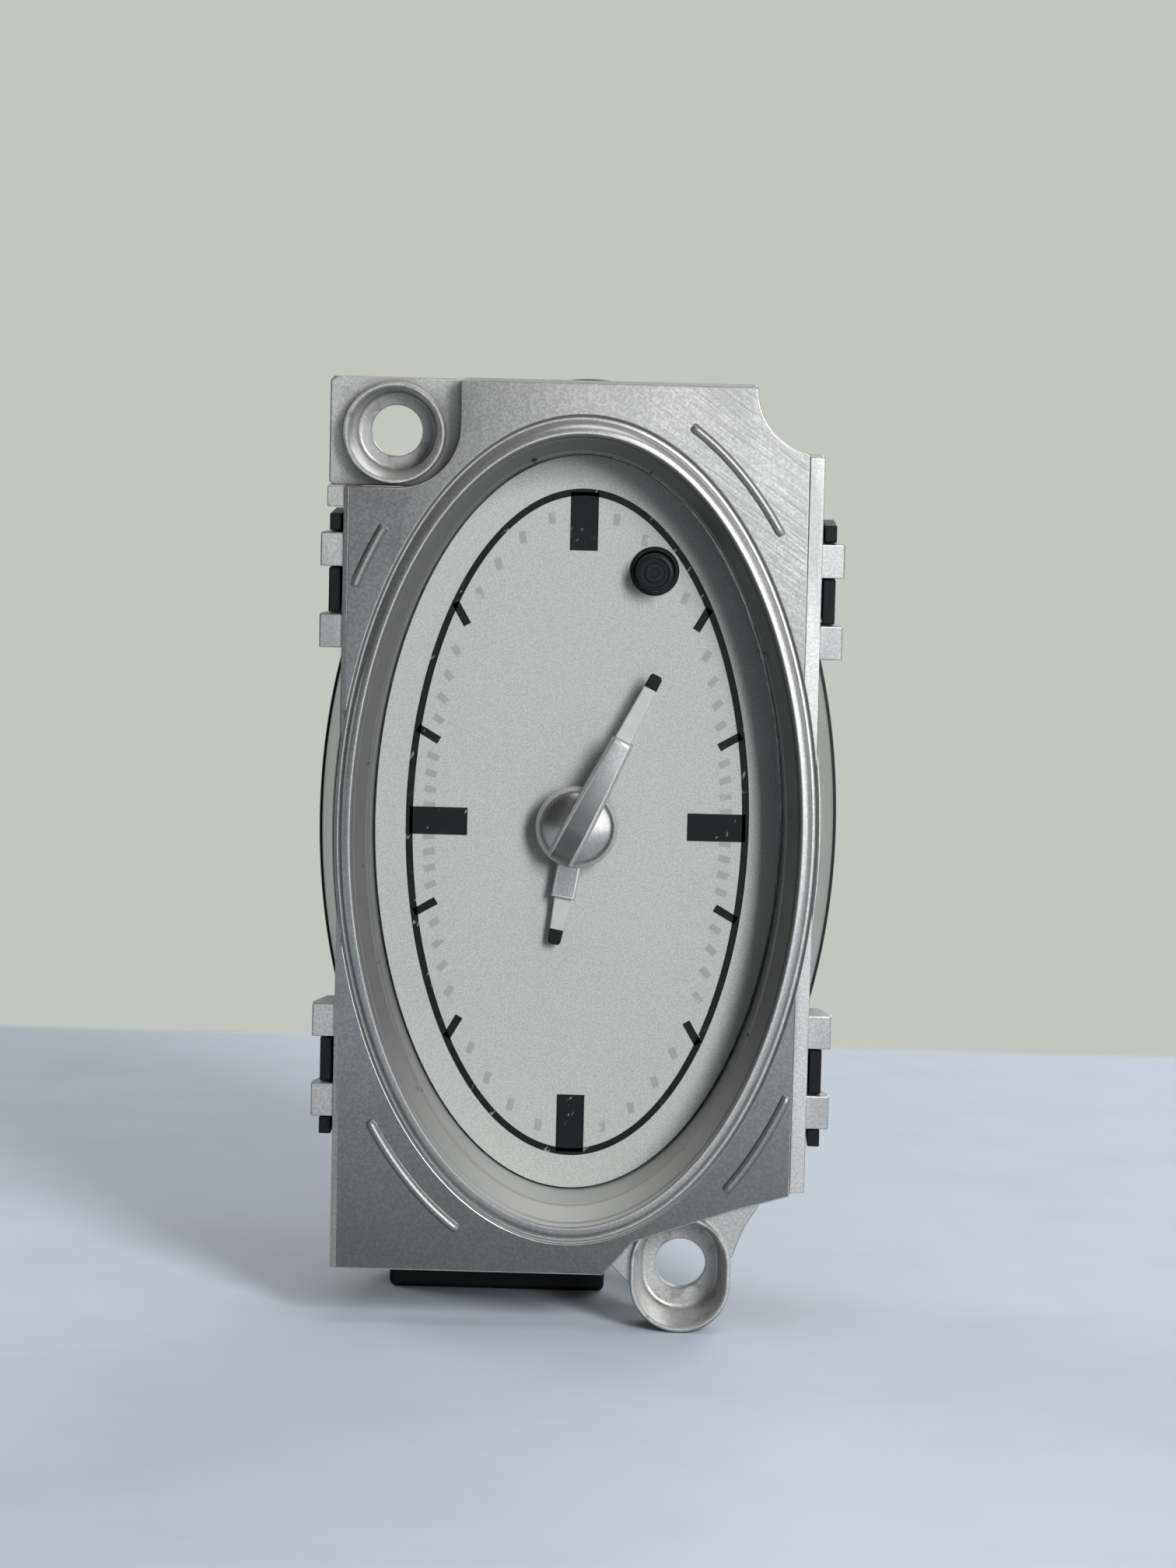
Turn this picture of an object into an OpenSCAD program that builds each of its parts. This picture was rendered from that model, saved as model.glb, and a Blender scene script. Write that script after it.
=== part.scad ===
// Oval dashboard clock. A silver front frame carries an oval well with a flat dial at its foot.
// A black rear housing is clipped on behind, and a quartz movement inside it turns two hands.
// Lengths are millimetres. X runs to the right, Y into the depth and Z up, as the clock stands on end.
// Shapes are drawn about the hand arbor, with depth counted from the flat front, and then placed.

/* [Front frame] */
// Width of the flat front
frame_w = 51; // [50:0.5:54]
// Height of the flat front
frame_h = 96; // [95:0.5:102]
// Thickness of the flat front
plate_t = 2; // [1.6:0.1:2.6]
// Depth of the skirt behind the flat front
skirt_depth = 9.5; // [9.2:0.1:10.5]
// Wall of the skirt
skirt_wall = 1.5; // [1.2:0.1:1.8]
// Radius of the notch in the upper right corner
notch_r = 7.3; // [5:0.1:9]

/* [Oval well] */
// Distance of the bead's crest from the long sides of the flat front
oval_side = 1; // [0.8:0.05:1.4]
// Distance of the bead's crest from the two ends of the flat front
oval_end = 4.9; // [4.4:0.1:5.4]
// Height of the bead above the flat front
bead_h = 1.2; // [0.8:0.1:1.6]
// Width of the bead
bead_w = 1.8; // [1.4:0.1:2.2]
// Depth of the step in the wall of the well
step_depth = 1.5; // [1:0.1:2.5]
// How far the upper wall of the well slopes in
step_in = 1.1; // [0.8:0.1:1.4]
// Draft of the lower wall of the well
well_draft = 0.3; // [0.1:0.1:0.5]
// Wall of the well
well_wall = 1.2; // [1:0.1:1.4]
// How far the outer wall behind the bead flares out
flare = 2.2; // [1.8:0.1:2.4]
// Height of the ribs on the flat front
rib_h = 0.7; // [0.4:0.1:1.2]
// Width of the ribs on the flat front
rib_w = 1.1; // [0.8:0.1:1.4]
// Distance of the ribs outside the bead
rib_out = 4.4; // [3.6:0.1:5]

/* [Screw ears] */
// Diameter of the two screw holes
screw_hole_d = 5.5; // [4:0.1:6]
// Depth of the screw seats behind the flat front
seat_depth = 6; // [4.5:0.1:7]
// Thickness of the screw seats
seat_t = 1.6; // [1.2:0.1:2.4]
// Outside diameter of the screw cups
cup_d = 10.9; // [10:0.1:11.4]
// Wall of the screw cups
cup_wall = 1.2; // [0.8:0.1:1.6]
// Distance of the upper hole from the left side of the flat front
ear_hole_in = 5.2; // [4.8:0.1:5.6]
// Distance of the upper hole from the top of the flat front
ear_hole_down = 5.8; // [5.5:0.1:6.2]
// Reach of the upper ear beyond the side of the flat front
ear_out = 1.8; // [1.2:0.1:2.1]
// Depth of the pocket round the upper cup
pocket_depth = 3; // [2.4:0.1:4]
// Distance of the lower hole from the right side of the flat front
lug_hole_in = 13.1; // [12.6:0.1:13.6]
// Height of the lower hole above the foot of the flat front
lug_hole_up = 0.3; // [-0.5:0.1:0.8]
// How much taller than wide the lower cup is
lug_stretch = 2; // [1:0.1:3]

/* [Clips] */
// Reach of the clip tabs beyond the side of the frame
tab_out = 2.4; // [1.8:0.1:2.5]
// Height of each clip tab
tab_h = 3.6; // [3:0.1:4]
// Gap between two clip tabs
tab_gap = 5.1; // [4.6:0.1:5.6]
// Height of the middle of each clip above or below the arbor
clip_z = 25.35; // [24.8:0.05:26]
// Thickness of the clip fingers
finger_t = 1.3; // [1:0.1:1.5]
// Clearance round the clip fingers
clip_clear = 0.2; // [0.15:0.05:0.3]

/* [Dial] */
// Depth of the dial behind the flat front
dial_depth = 8; // [7.6:0.1:8.2]
// Thickness of the dial
dial_t = 0.8; // [0.6:0.1:1]
// Clearance round the dial in the well
dial_clear = 0.25; // [0.15:0.05:0.4]
// Distance of the printed ring from the bead's crest at the long sides
ring_side = 5.9; // [5.5:0.1:6.3]
// Distance of the printed ring from the bead's crest at the two ends
ring_end = 6.7; // [6.2:0.1:7.2]
// Breadth of the line of the printed ring
ring_line = 0.75; // [0.5:0.05:1]
// Length of the four hour blocks
block_l = 6.3; // [5:0.1:7]
// Breadth of the four hour blocks
block_w = 3; // [2.4:0.1:3.6]
// Length of the eight hour ticks
tick_l = 2.7; // [2:0.1:3.4]
// Breadth of the eight hour ticks
tick_w = 0.85; // [0.6:0.05:1.1]
// Thickness of the printed marks
mark_t = 0.1; // [0.05:0.05:0.2]
// Thickness of the light guide behind the dial
guide_t = 3; // [2.4:0.1:3.4]

/* [Hands] */
// Hour that the hands show
show_hour = 9; // [0:1:11]
// Minute that the hands show
show_minute = 19.4; // [0:0.2:59.8]
// Length of the minute hand
minute_l = 18.6; // [17:0.1:19.2]
// Length of the hour hand
hour_l = 13.2; // [12.4:0.1:14.4]
// Length of the minute hand's silver cover
minute_cover_l = 10.8; // [9:0.1:12]
// Length of the hour hand's silver cover
hour_cover_l = 8; // [7:0.1:9]
// Breadth of the minute hand's silver cover
minute_cover_w = 2.5; // [2:0.1:2.8]
// Breadth of the hour hand's silver cover
hour_cover_w = 2.6; // [2.2:0.1:3]
// Breadth of the pale pointers where they leave their covers
pointer_w = 1.9; // [1.4:0.1:2]
// Breadth of the pale pointers at their tips
pointer_tip_w = 1.35; // [1:0.05:1.5]
// Thickness of the hands
hand_t = 0.6; // [0.5:0.05:0.7]
// Diameter of the domed hub
hub_d = 8.9; // [8:0.1:9.4]
// Height of the dome on the hub
hub_dome_h = 1.9; // [1.4:0.1:2.2]
// Clearance between the dial and the hour hand, and between the two hands
hand_clear = 0.9; // [0.7:0.1:1]

/* [Set button] */
// Diameter of the button
button_d = 4.1; // [3.6:0.1:4.4]
// Outside diameter of the collar round the button
collar_d = 5.3; // [5.2:0.1:6]
// Height of the button above the dial
button_h = 3; // [2.4:0.1:3.4]
// Travel of the button
button_travel = 0.8; // [0.4:0.1:1]
// Distance of the button to the right of the arbor
button_x = 7.7; // [7.5:0.1:8.2]
// Distance of the button above the arbor
button_z = 27.7; // [26.8:0.1:28.4]
// Height of the switch under the button
switch_h = 4.3; // [3.8:0.1:4.6]

/* [Movement] */
// Thickness of the movement plates
mplate_t = 1.4; // [1.2:0.1:1.6]
// Half width of the movement plates
mplate_x = 13.8; // [13.6:0.1:14.2]
// Top of the movement plates above the arbor
mplate_top = 13.6; // [13.2:0.1:14]
// Foot of the movement plates below the arbor
mplate_foot = 25.6; // [25.2:0.1:26]
// Thickness of the gears
gear_t = 0.8; // [0.7:0.05:0.9]
// Space between neighbouring gears along the arbors
train_gap = 0.5; // [0.4:0.05:0.6]
// Module of the motion work gears
motion_module = 0.3; // [0.28:0.01:0.32]
// Module of the centre wheel and its pinion
centre_module = 0.25; // [0.24:0.01:0.26]
// Module of the intermediate wheel and the rotor pinion
rotor_module = 0.2; // [0.18:0.01:0.22]
// Radius of the minute arbor
arbor_r = 0.9; // [0.8:0.05:1]
// Radius of the hour pipe
pipe_r = 1.6; // [1.5:0.05:1.7]
// Radius of the centre tube
tube_r = 2.6; // [2.4:0.05:2.8]
// Running clearance of arbors and pipes
run_clear = 0.06; // [0.04:0.01:0.08]
// Radius of the small pivots
pivot_r = 0.3; // [0.25:0.01:0.35]
// Radius of the rotor magnet
magnet_r = 2.2; // [2:0.1:2.3]
// Air gap round the rotor magnet
air_gap = 0.45; // [0.35:0.05:0.6]
// Length of the coil winding
coil_l = 12.6; // [11:0.1:13]

/* [Rear housing] */
// Depth of the housing behind the flat front
case_depth = 30; // [29.6:0.1:33]
// Wall of the housing
case_wall = 1.8; // [1.5:0.1:2]
// How far the housing stands outside the flared wall
case_out = 0.4; // [0.2:0.05:0.6]
// Width of the foot block under the housing
foot_w = 24; // [23:0.5:26]
// Place of the foot block's right side from the arbor
foot_right = 4; // [3.5:0.1:4.5]
// Depth at which the foot block starts
foot_start = 20; // [18:0.1:21]
// Radius of the posts that carry the light guide
post_r = 1.8; // [1.6:0.1:1.9]

/* [Board and lamps] */
// Thickness of the circuit board
board_t = 1.6; // [1.4:0.1:1.8]
// Half width of the circuit board
board_x = 14; // [13.6:0.1:14.2]
// Half height of the circuit board
board_z = 36; // [35.6:0.1:37]
// Space between the movement and the circuit board
board_gap = 2; // [1.8:0.1:2.2]
// Distance of the lamps above and below the arbor
lamp_z = 31; // [30.8:0.1:31.2]
// Radius of the lamp bulbs
lamp_r = 2.5; // [2.2:0.1:2.6]
// Radius of the lamp holders
holder_r = 3.8; // [3.6:0.1:4]
// Clearance round the lamps and their holders
lamp_clear = 0.2; // [0.15:0.05:0.25]

/* [Connector] */
// Length of the plug header behind the housing
shroud_l = 6; // [5:0.1:8]
// Width of the plug space in the header
shroud_w = 14; // [13:0.1:15]
// Height of the plug space in the header
shroud_h = 7.8; // [7.4:0.1:8.2]
// Wall round the plug space
shroud_wall = 1.4; // [1.2:0.1:1.6]
// Spacing of the pins
pin_pitch = 2.54; // [2.4:0.02:3]
// Thickness of the pins
pin_w = 0.64; // [0.5:0.02:0.8]

/* [Hidden] */
$fn = 64;
eps = 0.01;
face_gap = 0.1;

// Oval: half axes along the bead crest, and how offsets stretch towards its two ends
oval_a = frame_w / 2 - oval_side;
oval_b = frame_h / 2 - oval_end;
end_stretch = 1.2;
oval_steps = 96;
bead_out = bead_w / 2 + 0.1;
bead_in = bead_w / 2 - 0.1;
step_off = -(bead_in + step_in);
ledge_w = 0.15;
foot_off = step_off - ledge_w - well_draft;
flare_off = bead_out + flare;
case_off = flare_off + case_out;

// Depths of the faces, from the flat front backwards
y_guide = dial_depth + dial_t;
well_end = y_guide - face_gap;
y_mplate = y_guide + guide_t;
y_train = y_mplate + mplate_t;
y_hour_gear = y_train + train_gap;
y_motion_gear = y_hour_gear + gear_t + train_gap;
y_centre_gear = y_motion_gear + gear_t + 2 * train_gap;
y_inter_gear = y_centre_gear + gear_t + train_gap;
y_back_plate = y_inter_gear + gear_t + 3 * train_gap;
y_back_face = y_back_plate + mplate_t;
y_board = y_back_face + board_gap;
y_board_back = y_board + board_t;
y_case = skirt_depth + face_gap;
y_rear_wall = case_depth - case_wall;
y_shroud = case_depth + shroud_l;
y_hour_hand = dial_depth - hand_clear - hand_t;
y_hour_cover = y_hour_hand - hand_t;
y_minute_hand = y_hour_cover - hand_clear / 2 - hand_t;
bar_proud = 0.3;
bar_t = hub_dome_h + bar_proud;
y_bar = y_minute_hand - bar_t;
hub_skirt = 0.15;
y_hub_rim = y_minute_hand + hand_t + hub_skirt;
tube_proud = 0.6;
y_tube = dial_depth - tube_proud;

// Screw ears: where their holes stand from the arbor
ear_hole_x = frame_w / 2 - ear_hole_in;
ear_hole_z = frame_h / 2 - ear_hole_down;
ear_reach = frame_w / 2 + ear_out;
lug_hole_x = frame_w / 2 - lug_hole_in;
lug_hole_z = frame_h / 2 - lug_hole_up;

// Place of the whole clock: standing height of the arbor, and the front as the depth is centred
arbor_z = lug_hole_z + (cup_d + lug_stretch) / 2;
face_y = (bead_h - y_shroud) / 2;

// Hands: twelve o'clock points left, and the hands turn clockwise seen from the front
minute_angle = 180 - 6 * show_minute;
hour_angle = 180 - 30 * (show_hour + show_minute / 60);
tip_l = 1.6;
pointer_hub_r = 2.1;
hour_hub_r = 2.8;
hub_wall = 0.6;
bar_tail = 0.3;
bar_taper = 0.8;

// Train: tooth counts, and where each arbor stands
cannon_n = 10;
motion_n = 30;
motion_pinion_n = 8;
hour_n = 32;
centre_n = 64;
inter_pinion_n = 8;
inter_n = 60;
rotor_n = 8;
motion_dir = 45;
inter_dir = 235;
rotor_dir = 270;
motion_d = motion_module * (cannon_n + motion_n) / 2;
inter_d = centre_module * (centre_n + inter_pinion_n) / 2;
rotor_d = rotor_module * (inter_n + rotor_n) / 2;
motion_xz = [motion_d * cos(motion_dir), motion_d * sin(motion_dir)];
inter_xz = [inter_d * cos(inter_dir), inter_d * sin(inter_dir)];
rotor_xz = [inter_xz[0] + rotor_d * cos(rotor_dir), inter_xz[1] + rotor_d * sin(rotor_dir)];
stud_r = 0.6;
stem_r = 0.45;
end_play = 0.2;
tooth_over = 0.1;
pinion_t = gear_t + train_gap + 2 * tooth_over;
pivot_cover = 0.4;
pivot_front = y_mplate + pivot_cover + end_play;
pivot_end = y_back_face - pivot_cover - end_play;

// Motor: stator plate round the rotor, with the coil beside it
stator_t = 1;
core_t = 1;
stator_web = 0.9;
magnet_over = 0.4;
y_coil = (y_train + y_back_plate) / 2;
y_stator = y_coil - core_t / 2 - stator_t;
bore_r = magnet_r + air_gap;
stator_half = bore_r + stator_web;
coil_gap = 0.3;
coil_r = (y_back_plate - y_train) / 2 - coil_gap;
barrel_r = 1.3;
flange_t = 1;
winding_in = 0.2;
core_w = 1.6;
core_slip = 0.04;
coil_z = rotor_xz[1] - stator_half - coil_gap - coil_r;
coil_x = -1.4;
core_half = coil_l / 2 + flange_t + face_gap + core_w;

// Screws and posts
guide_clear = 0.9;
bulb_clear = 0.3;
corner_in = 1.8;
corner_x = mplate_x - corner_in;
corner_z = [mplate_top - corner_in, corner_in - mplate_foot];
corner_xz = [for (x = [-1, 1], z = corner_z) [x * corner_x, z]];
pillar_r = 1.3;
pillar_hole_r = 0.75;
movement_screw_r = 0.7;
movement_screw_l = 4;
movement_head_r = 1.4;
movement_head_t = 0.8;
peg_r = 0.9;
peg_l = 2;
board_screw_x = board_x - 2.6;
board_screw_z = [20, -30];
board_screw_xz = [for (x = [-1, 1], z = board_screw_z) [x * board_screw_x, z]];
board_screw_r = 1.1;
board_head_r = 2;
board_head_t = 1;
board_screw_short = 0.4;
screw_clear = 0.05;
boss_r = 2.2;
post_x = board_x + post_r + 0.7;
post_z = 26;

// Button and switch
collar_wall = 0.35;
collar_lip = 0.4;
button_slip = 0.06;
collar_tube_r = button_d / 2 + button_slip + collar_wall;
plunger_r = 1.5;
plunger_out = 1.4;
y_switch = y_board - switch_h;
y_plunger = y_switch - plunger_out;
switch_w = 6;
keeper_t = 0.8;
keeper_out = 0.8;
keeper_gap = 0.3;
y_keeper = y_mplate + keeper_gap;
pusher_r = 1.3;
plunger_in = 1.8;
groove_depth = 0.25;
groove_edge = 0.45;
groove_w = 0.5;

// Board parts: where they sit, and their sizes
board_clear = 3;
chip_x = [-9, -4];
chip_z = [2, 10];
chip_t = 1.6;
crystal_xz = [3, 6];
crystal_r = 1;
crystal_l = 6;
capacitor_xz = [[-7, 23.4], [0, 20]];
capacitor_r = 2.4;
capacitor_l = 7;

// Lamps
lamp_xz = [[0, lamp_z], [0, -lamp_z]];
bulb_front = y_guide + 0.6;
bulb_l = 11;
holder_grip = 3.4;
holder_front = bulb_front + bulb_l - holder_grip;
holder_head_r = holder_r + 1.6;
holder_head_t = 1.6;
holder_bar = 1.6;

// Connector
foot_left = foot_right - foot_w;
foot_h = 16;
pin_n = 4;
shroud_x = (foot_left + foot_right) / 2;
shroud_above = 2;
shroud_z = -arbor_z + shroud_h / 2 + shroud_wall + shroud_above;
pin_above = 1.5;
pin_z = shroud_z - shroud_h / 2 + pin_above;
pin_short = 1.5;
pin_xz = [for (i = [0:pin_n - 1]) [shroud_x + (i - (pin_n - 1) / 2) * pin_pitch, pin_z]];
pin_stub = 1;
tongue_half = 6;
tongue_over = 2;

function oval(d, n = oval_steps) =
    [for (i = [0:n - 1]) [(oval_a + d) * cos(360 * i / n), (oval_b + end_stretch * d) * sin(360 * i / n)]];
function ellipse(a, b, n = oval_steps) = [for (i = [0:n - 1]) [a * cos(360 * i / n), b * sin(360 * i / n)]];
function ellipse_reach(a, b, dir) = 1 / sqrt(pow(cos(dir) / a, 2) + pow(sin(dir) / b, 2));

// Outline of a gear: stub teeth with straight flanks, one of them centred on the phase angle
function gear_tooth(n, m, at) =
    let (pitch = 360 / n, tip = m * (n / 2 + 0.7), root = m * (n / 2 - 1))
    [
        for (p = [[root, -0.27], [tip, -0.11], [tip, 0.11], [root, 0.27]])
            [p[0] * cos(at + pitch * p[1]), p[0] * sin(at + pitch * p[1])]
    ];
function gear_outline(n, m, phase) =
    [for (i = [0:n - 1]) each gear_tooth(n, m, phase + 360 * i / n)];

module place() translate([0, face_y, arbor_z]) children();
module slab(y, t) translate([0, y + t, 0]) rotate([90, 0, 0]) linear_extrude(t) children();
module rod(x, z, y, l, r) translate([x, y, z]) rotate([-90, 0, 0]) cylinder(r = r, h = l);
module block(x0, x1, y0, y1, z0, z1) translate([x0, y0, z0]) cube([x1 - x0, y1 - y0, z1 - z0]);
module gear(n, m, phase, y, t) slab(y, t) polygon(gear_outline(n, m, phase));
module four() for (x = [0, 1], z = [0, 1]) mirror([x, 0, 0]) mirror([0, 0, z]) children();

// A ring swept round the oval: the profile gives offsets from the bead crest, and depths
module oval_ring(profile) {
    m = len(profile);
    points = [
        for (i = [0:oval_steps - 1], p = profile)
            let (at = 360 * i / oval_steps)
            [(oval_a + p[0]) * cos(at), p[1], (oval_b + end_stretch * p[0]) * sin(at)]
    ];
    faces = [
        for (i = [0:oval_steps - 1], j = [0:m - 1])
            let (i2 = (i + 1) % oval_steps, j2 = (j + 1) % m)
            each [
                [i * m + j, i * m + j2, i2 * m + j2],
                [i * m + j, i2 * m + j2, i2 * m + j]
            ]
    ];
    polyhedron(points, faces);
}

// Cup of a screw ear: a round or lengthened tube, closed by its seat
module cup_plan(r, stretch) {
    for (s = [-0.5, 0.5]) translate([0, s * stretch]) circle(r);
    if (stretch > 0) square([2 * (r - eps), stretch], center = true);
}

// Cut in the flat front above the lower lug, and the web that joins the lug to the frame
cut_right = -frame_h / 2 + 9.6;
cut_middle = [lug_hole_x + 5.4, -frame_h / 2 + 7.4];
cut_left = [lug_hole_x - 5.2, -frame_h / 2 + 3.7];
cut_foot = [lug_hole_x - 9.2, -frame_h / 2 - 1];
lug_web = [
    [lug_hole_x - 8, -frame_h / 2 + 1.4], [lug_hole_x - 4.6, -lug_hole_z - 1.6],
    [lug_hole_x + 4.6, -lug_hole_z], [lug_hole_x + 5.2, -lug_hole_z + 1.4],
    [lug_hole_x + 6.2, -frame_h / 2 + 4], [lug_hole_x + 8.1, -frame_h / 2 + 7.5],
    [frame_w / 2 - 4, -frame_h / 2 + 9.6], [frame_w / 2 - 6, -frame_h / 2 + 11], [0, -frame_h / 2 + 6]
];

// Outline of the flat front, with the notch and the cut for the lower lug
module frame_plan() {
    hw = frame_w / 2;
    hh = frame_h / 2;
    difference() {
        translate([-hw, -hh]) square([frame_w, frame_h]);
        translate([hw, hh]) circle(notch_r);
        polygon([[hw + 1, cut_right], [hw, cut_right], cut_middle, cut_left, cut_foot, [hw + 1, -hh - 1]]);
    }
}

// Region of the recessed pocket round the upper cup
pocket_space = 1.6;
pocket_right = -ear_hole_x + cup_d / 2 + pocket_space;
pocket_foot = ear_hole_z - cup_d / 2 - 0.3;
pocket_round = 6.7;
ear_cup_drop = 0.5;
ear_tab_h = 2.2;
module pocket_plan(grow) {
    left = -ear_reach - 1;
    bend = [pocket_right - pocket_round, pocket_foot + pocket_round];
    translate([left, bend[1]]) square([pocket_right + grow - left, frame_h / 2 - bend[1] + 1]);
    translate([left, pocket_foot - grow]) square([bend[0] - left, pocket_round + grow + eps]);
    translate(bend) circle(pocket_round + grow);
}

module ear_plan() {
    translate([-ear_reach, pocket_foot - skirt_wall])
        square([ear_reach + pocket_right + skirt_wall, frame_h / 2 - pocket_foot + skirt_wall]);
}

module rib(from, to) {
    n = 8;
    // Points along the rib at an offset from the bead
    edge = function (d) [
        for (i = [0:n])
            let (at = from + (to - from) * i / n)
            [(oval_a + d) * cos(at), (oval_b + d) * sin(at)]
    ];
    outer = edge(rib_out + rib_w / 2);
    inner = edge(rib_out - rib_w / 2);
    slab(-rib_h, rib_h + plate_t / 2) polygon(concat(outer, [for (i = [n:-1:0]) inner[i]]));
}

// A clip tab on the frame's side: flat in front, tapering towards the back
tab_front = 0.7;
tab_lip = 1.4;
tab_back = 6.4;
module clip_tab(z) {
    x = frame_w / 2;
    translate([0, 0, z]) linear_extrude(tab_h) polygon([
        [x - skirt_wall / 2, tab_front], [x + tab_out, tab_front], [x + tab_out, tab_front + tab_lip],
        [x + tab_out / 2, tab_back], [x - skirt_wall / 2, tab_back]
    ]);
}

window_y = [3, 5.4];
window_margin = 0.7;
catch_in = 0.9;

module front_frame() {
    hw = frame_w / 2;
    hh = frame_h / 2;
    arc = [
        for (s = [0:30:180])
            [(bead_out - bead_in) / 2 + bead_w / 2 * cos(s), -bead_h * sin(s)]
    ];
    rim_back = plate_t + 0.6;
    rim = concat(arc, [
        [step_off, step_depth],
        [step_off - ledge_w, step_depth + face_gap],
        [foot_off, well_end],
        [foot_off + well_wall, well_end],
        [step_off + well_wall, rim_back],
        [bead_out + flare / 4 - skirt_wall, rim_back],
        [flare_off - skirt_wall, skirt_depth],
        [flare_off, skirt_depth]
    ]);
    color("silver") place() {
        oval_ring(rim);
        difference() {
            union() {
                slab(0, plate_t) difference() {
                    frame_plan();
                    polygon(oval(0));
                    pocket_plan(0);
                }
                // Skirt walls, clear of the oval
                slab(plate_t - eps, skirt_depth - plate_t + eps) difference() {
                    union() {
                        translate([-hw, -hh]) square([skirt_wall, pocket_foot + hh]);
                        translate([hw - skirt_wall, cut_right])
                            square([skirt_wall, hh - notch_r - cut_right]);
                        translate([pocket_right, hh - skirt_wall])
                            square([hw - notch_r - pocket_right, skirt_wall]);
                        translate([-hw, -hh]) square([hw + cut_foot[0], skirt_wall]);
                    }
                    polygon(oval(flare_off - skirt_wall / 2));
                }
                // Floor of the pocket, and its wall towards the flat front
                slab(pocket_depth, seat_t) difference() {
                    ear_plan();
                    polygon(oval(flare_off - skirt_wall));
                }
                slab(plate_t / 2, pocket_depth - plate_t / 2 + eps) difference() {
                    intersection() {
                        frame_plan();
                        pocket_plan(skirt_wall);
                    }
                    pocket_plan(0);
                    polygon(oval(0));
                }
                slab(ear_cup_drop, seat_depth + seat_t - ear_cup_drop)
                    translate([-ear_hole_x, ear_hole_z]) cup_plan(cup_d / 2, 0);
                // Lower lug with its web to the flat front
                slab(0, seat_depth + seat_t)
                    translate([lug_hole_x, -lug_hole_z]) cup_plan(cup_d / 2, lug_stretch);
                slab(plate_t / 2, seat_depth - plate_t / 2) difference() {
                    polygon(lug_web);
                    polygon(oval(bead_out + flare / 2));
                }
                for (from_to = [[43, 67], [137, 147], [222, 246], [-54, -36]]) rib(from_to[0], from_to[1]);
                four() for (s = [-1, 1]) clip_tab(clip_z + s * (tab_gap + tab_h) / 2 - tab_h / 2);
                block(
                    -ear_reach, -hw + eps, tab_front, pocket_depth + seat_t,
                    pocket_foot - ear_tab_h, pocket_foot + eps
                );
            }
            // Cup bores, screw holes and the windows for the clip fingers
            slab(-1, 1 + seat_depth) translate([-ear_hole_x, ear_hole_z]) cup_plan(cup_d / 2 - cup_wall, 0);
            slab(-1, 1 + seat_depth) translate([lug_hole_x, -lug_hole_z])
                cup_plan(cup_d / 2 - cup_wall, lug_stretch);
            rod(-ear_hole_x, ear_hole_z, -1, seat_depth + seat_t + 2, screw_hole_d / 2);
            rod(lug_hole_x, -lug_hole_z, -1, seat_depth + seat_t + 2, screw_hole_d / 2);
            four() block(
                hw - skirt_wall - 0.5, hw + eps, window_y[0], window_y[1],
                clip_z - tab_gap / 2 + window_margin, clip_z + tab_gap / 2 - window_margin
            );
        }
    }
}

// One clip of the housing: a shelf with two fingers that reach forward along the frame's side
shelf_t = 2;
shelf_root = 7;
outer_finger_h = 1.8;
module case_clip() {
    x0 = frame_w / 2 + clip_clear;
    z0 = clip_z - tab_gap / 2 + clip_clear;
    z1 = clip_z + tab_gap / 2 - clip_clear;
    z2 = clip_z + tab_gap / 2 + tab_h + clip_clear;
    finger_front = tab_front + 0.5;
    shelf_in = oval_a + case_off - case_wall - shelf_root;
    difference() {
        block(shelf_in, x0 + finger_t, y_case, y_case + shelf_t, z0, z2 + outer_finger_h);
        slab(y_case - 1, shelf_t + 2) polygon(oval(case_off - case_wall / 2));
    }
    block(x0, x0 + finger_t, finger_front, y_case + eps, z0, z1);
    block(x0, x0 + finger_t, finger_front, y_case + eps, z2, z2 + outer_finger_h);
    block(
        x0 - catch_in, x0 + eps, window_y[0] + clip_clear, window_y[1] - clip_clear,
        z0 + window_margin, z1 - window_margin
    );
}

// A block about the middle of the plug space, larger than that space all round
module plug_block(grow, y0, y1) block(
    shroud_x - shroud_w / 2 - grow, shroud_x + shroud_w / 2 + grow, y0, y1,
    shroud_z - shroud_h / 2 - grow, shroud_z + shroud_h / 2 + grow
);

module rear_housing() {
    color([0.06, 0.06, 0.06]) place() {
        difference() {
            union() {
                slab(y_case, case_depth - y_case) polygon(oval(case_off));
                block(foot_left, foot_right, foot_start, case_depth, -arbor_z, -arbor_z + foot_h);
                four() case_clip();
            }
            slab(y_case - 1, y_rear_wall - y_case + 1) polygon(oval(case_off - case_wall));
            block(
                foot_left + case_wall, foot_right - case_wall, foot_start + case_wall, y_rear_wall,
                -arbor_z + case_wall, -arbor_z + foot_h + eps
            );
            plug_block(shroud_wall + screw_clear, y_rear_wall - 1, case_depth + 1);
            for (at = lamp_xz) rod(at[0], at[1], y_rear_wall - 1, case_wall + 2, holder_r + lamp_clear);
        }
        for (at = board_screw_xz) difference() {
            rod(at[0], at[1], y_board_back, y_rear_wall - y_board_back + eps, boss_r);
            rod(at[0], at[1], y_board_back - 1, y_rear_wall - y_board_back + 1, board_screw_r + screw_clear);
        }
        for (x = [-1, 1], z = [-1, 1]) {
            rod(x * post_x, z * post_z, y_mplate, y_rear_wall - y_mplate + eps, post_r);
            rod(x * post_x, z * post_z, y_mplate - peg_l, peg_l + eps, peg_r);
        }
    }
}

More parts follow.
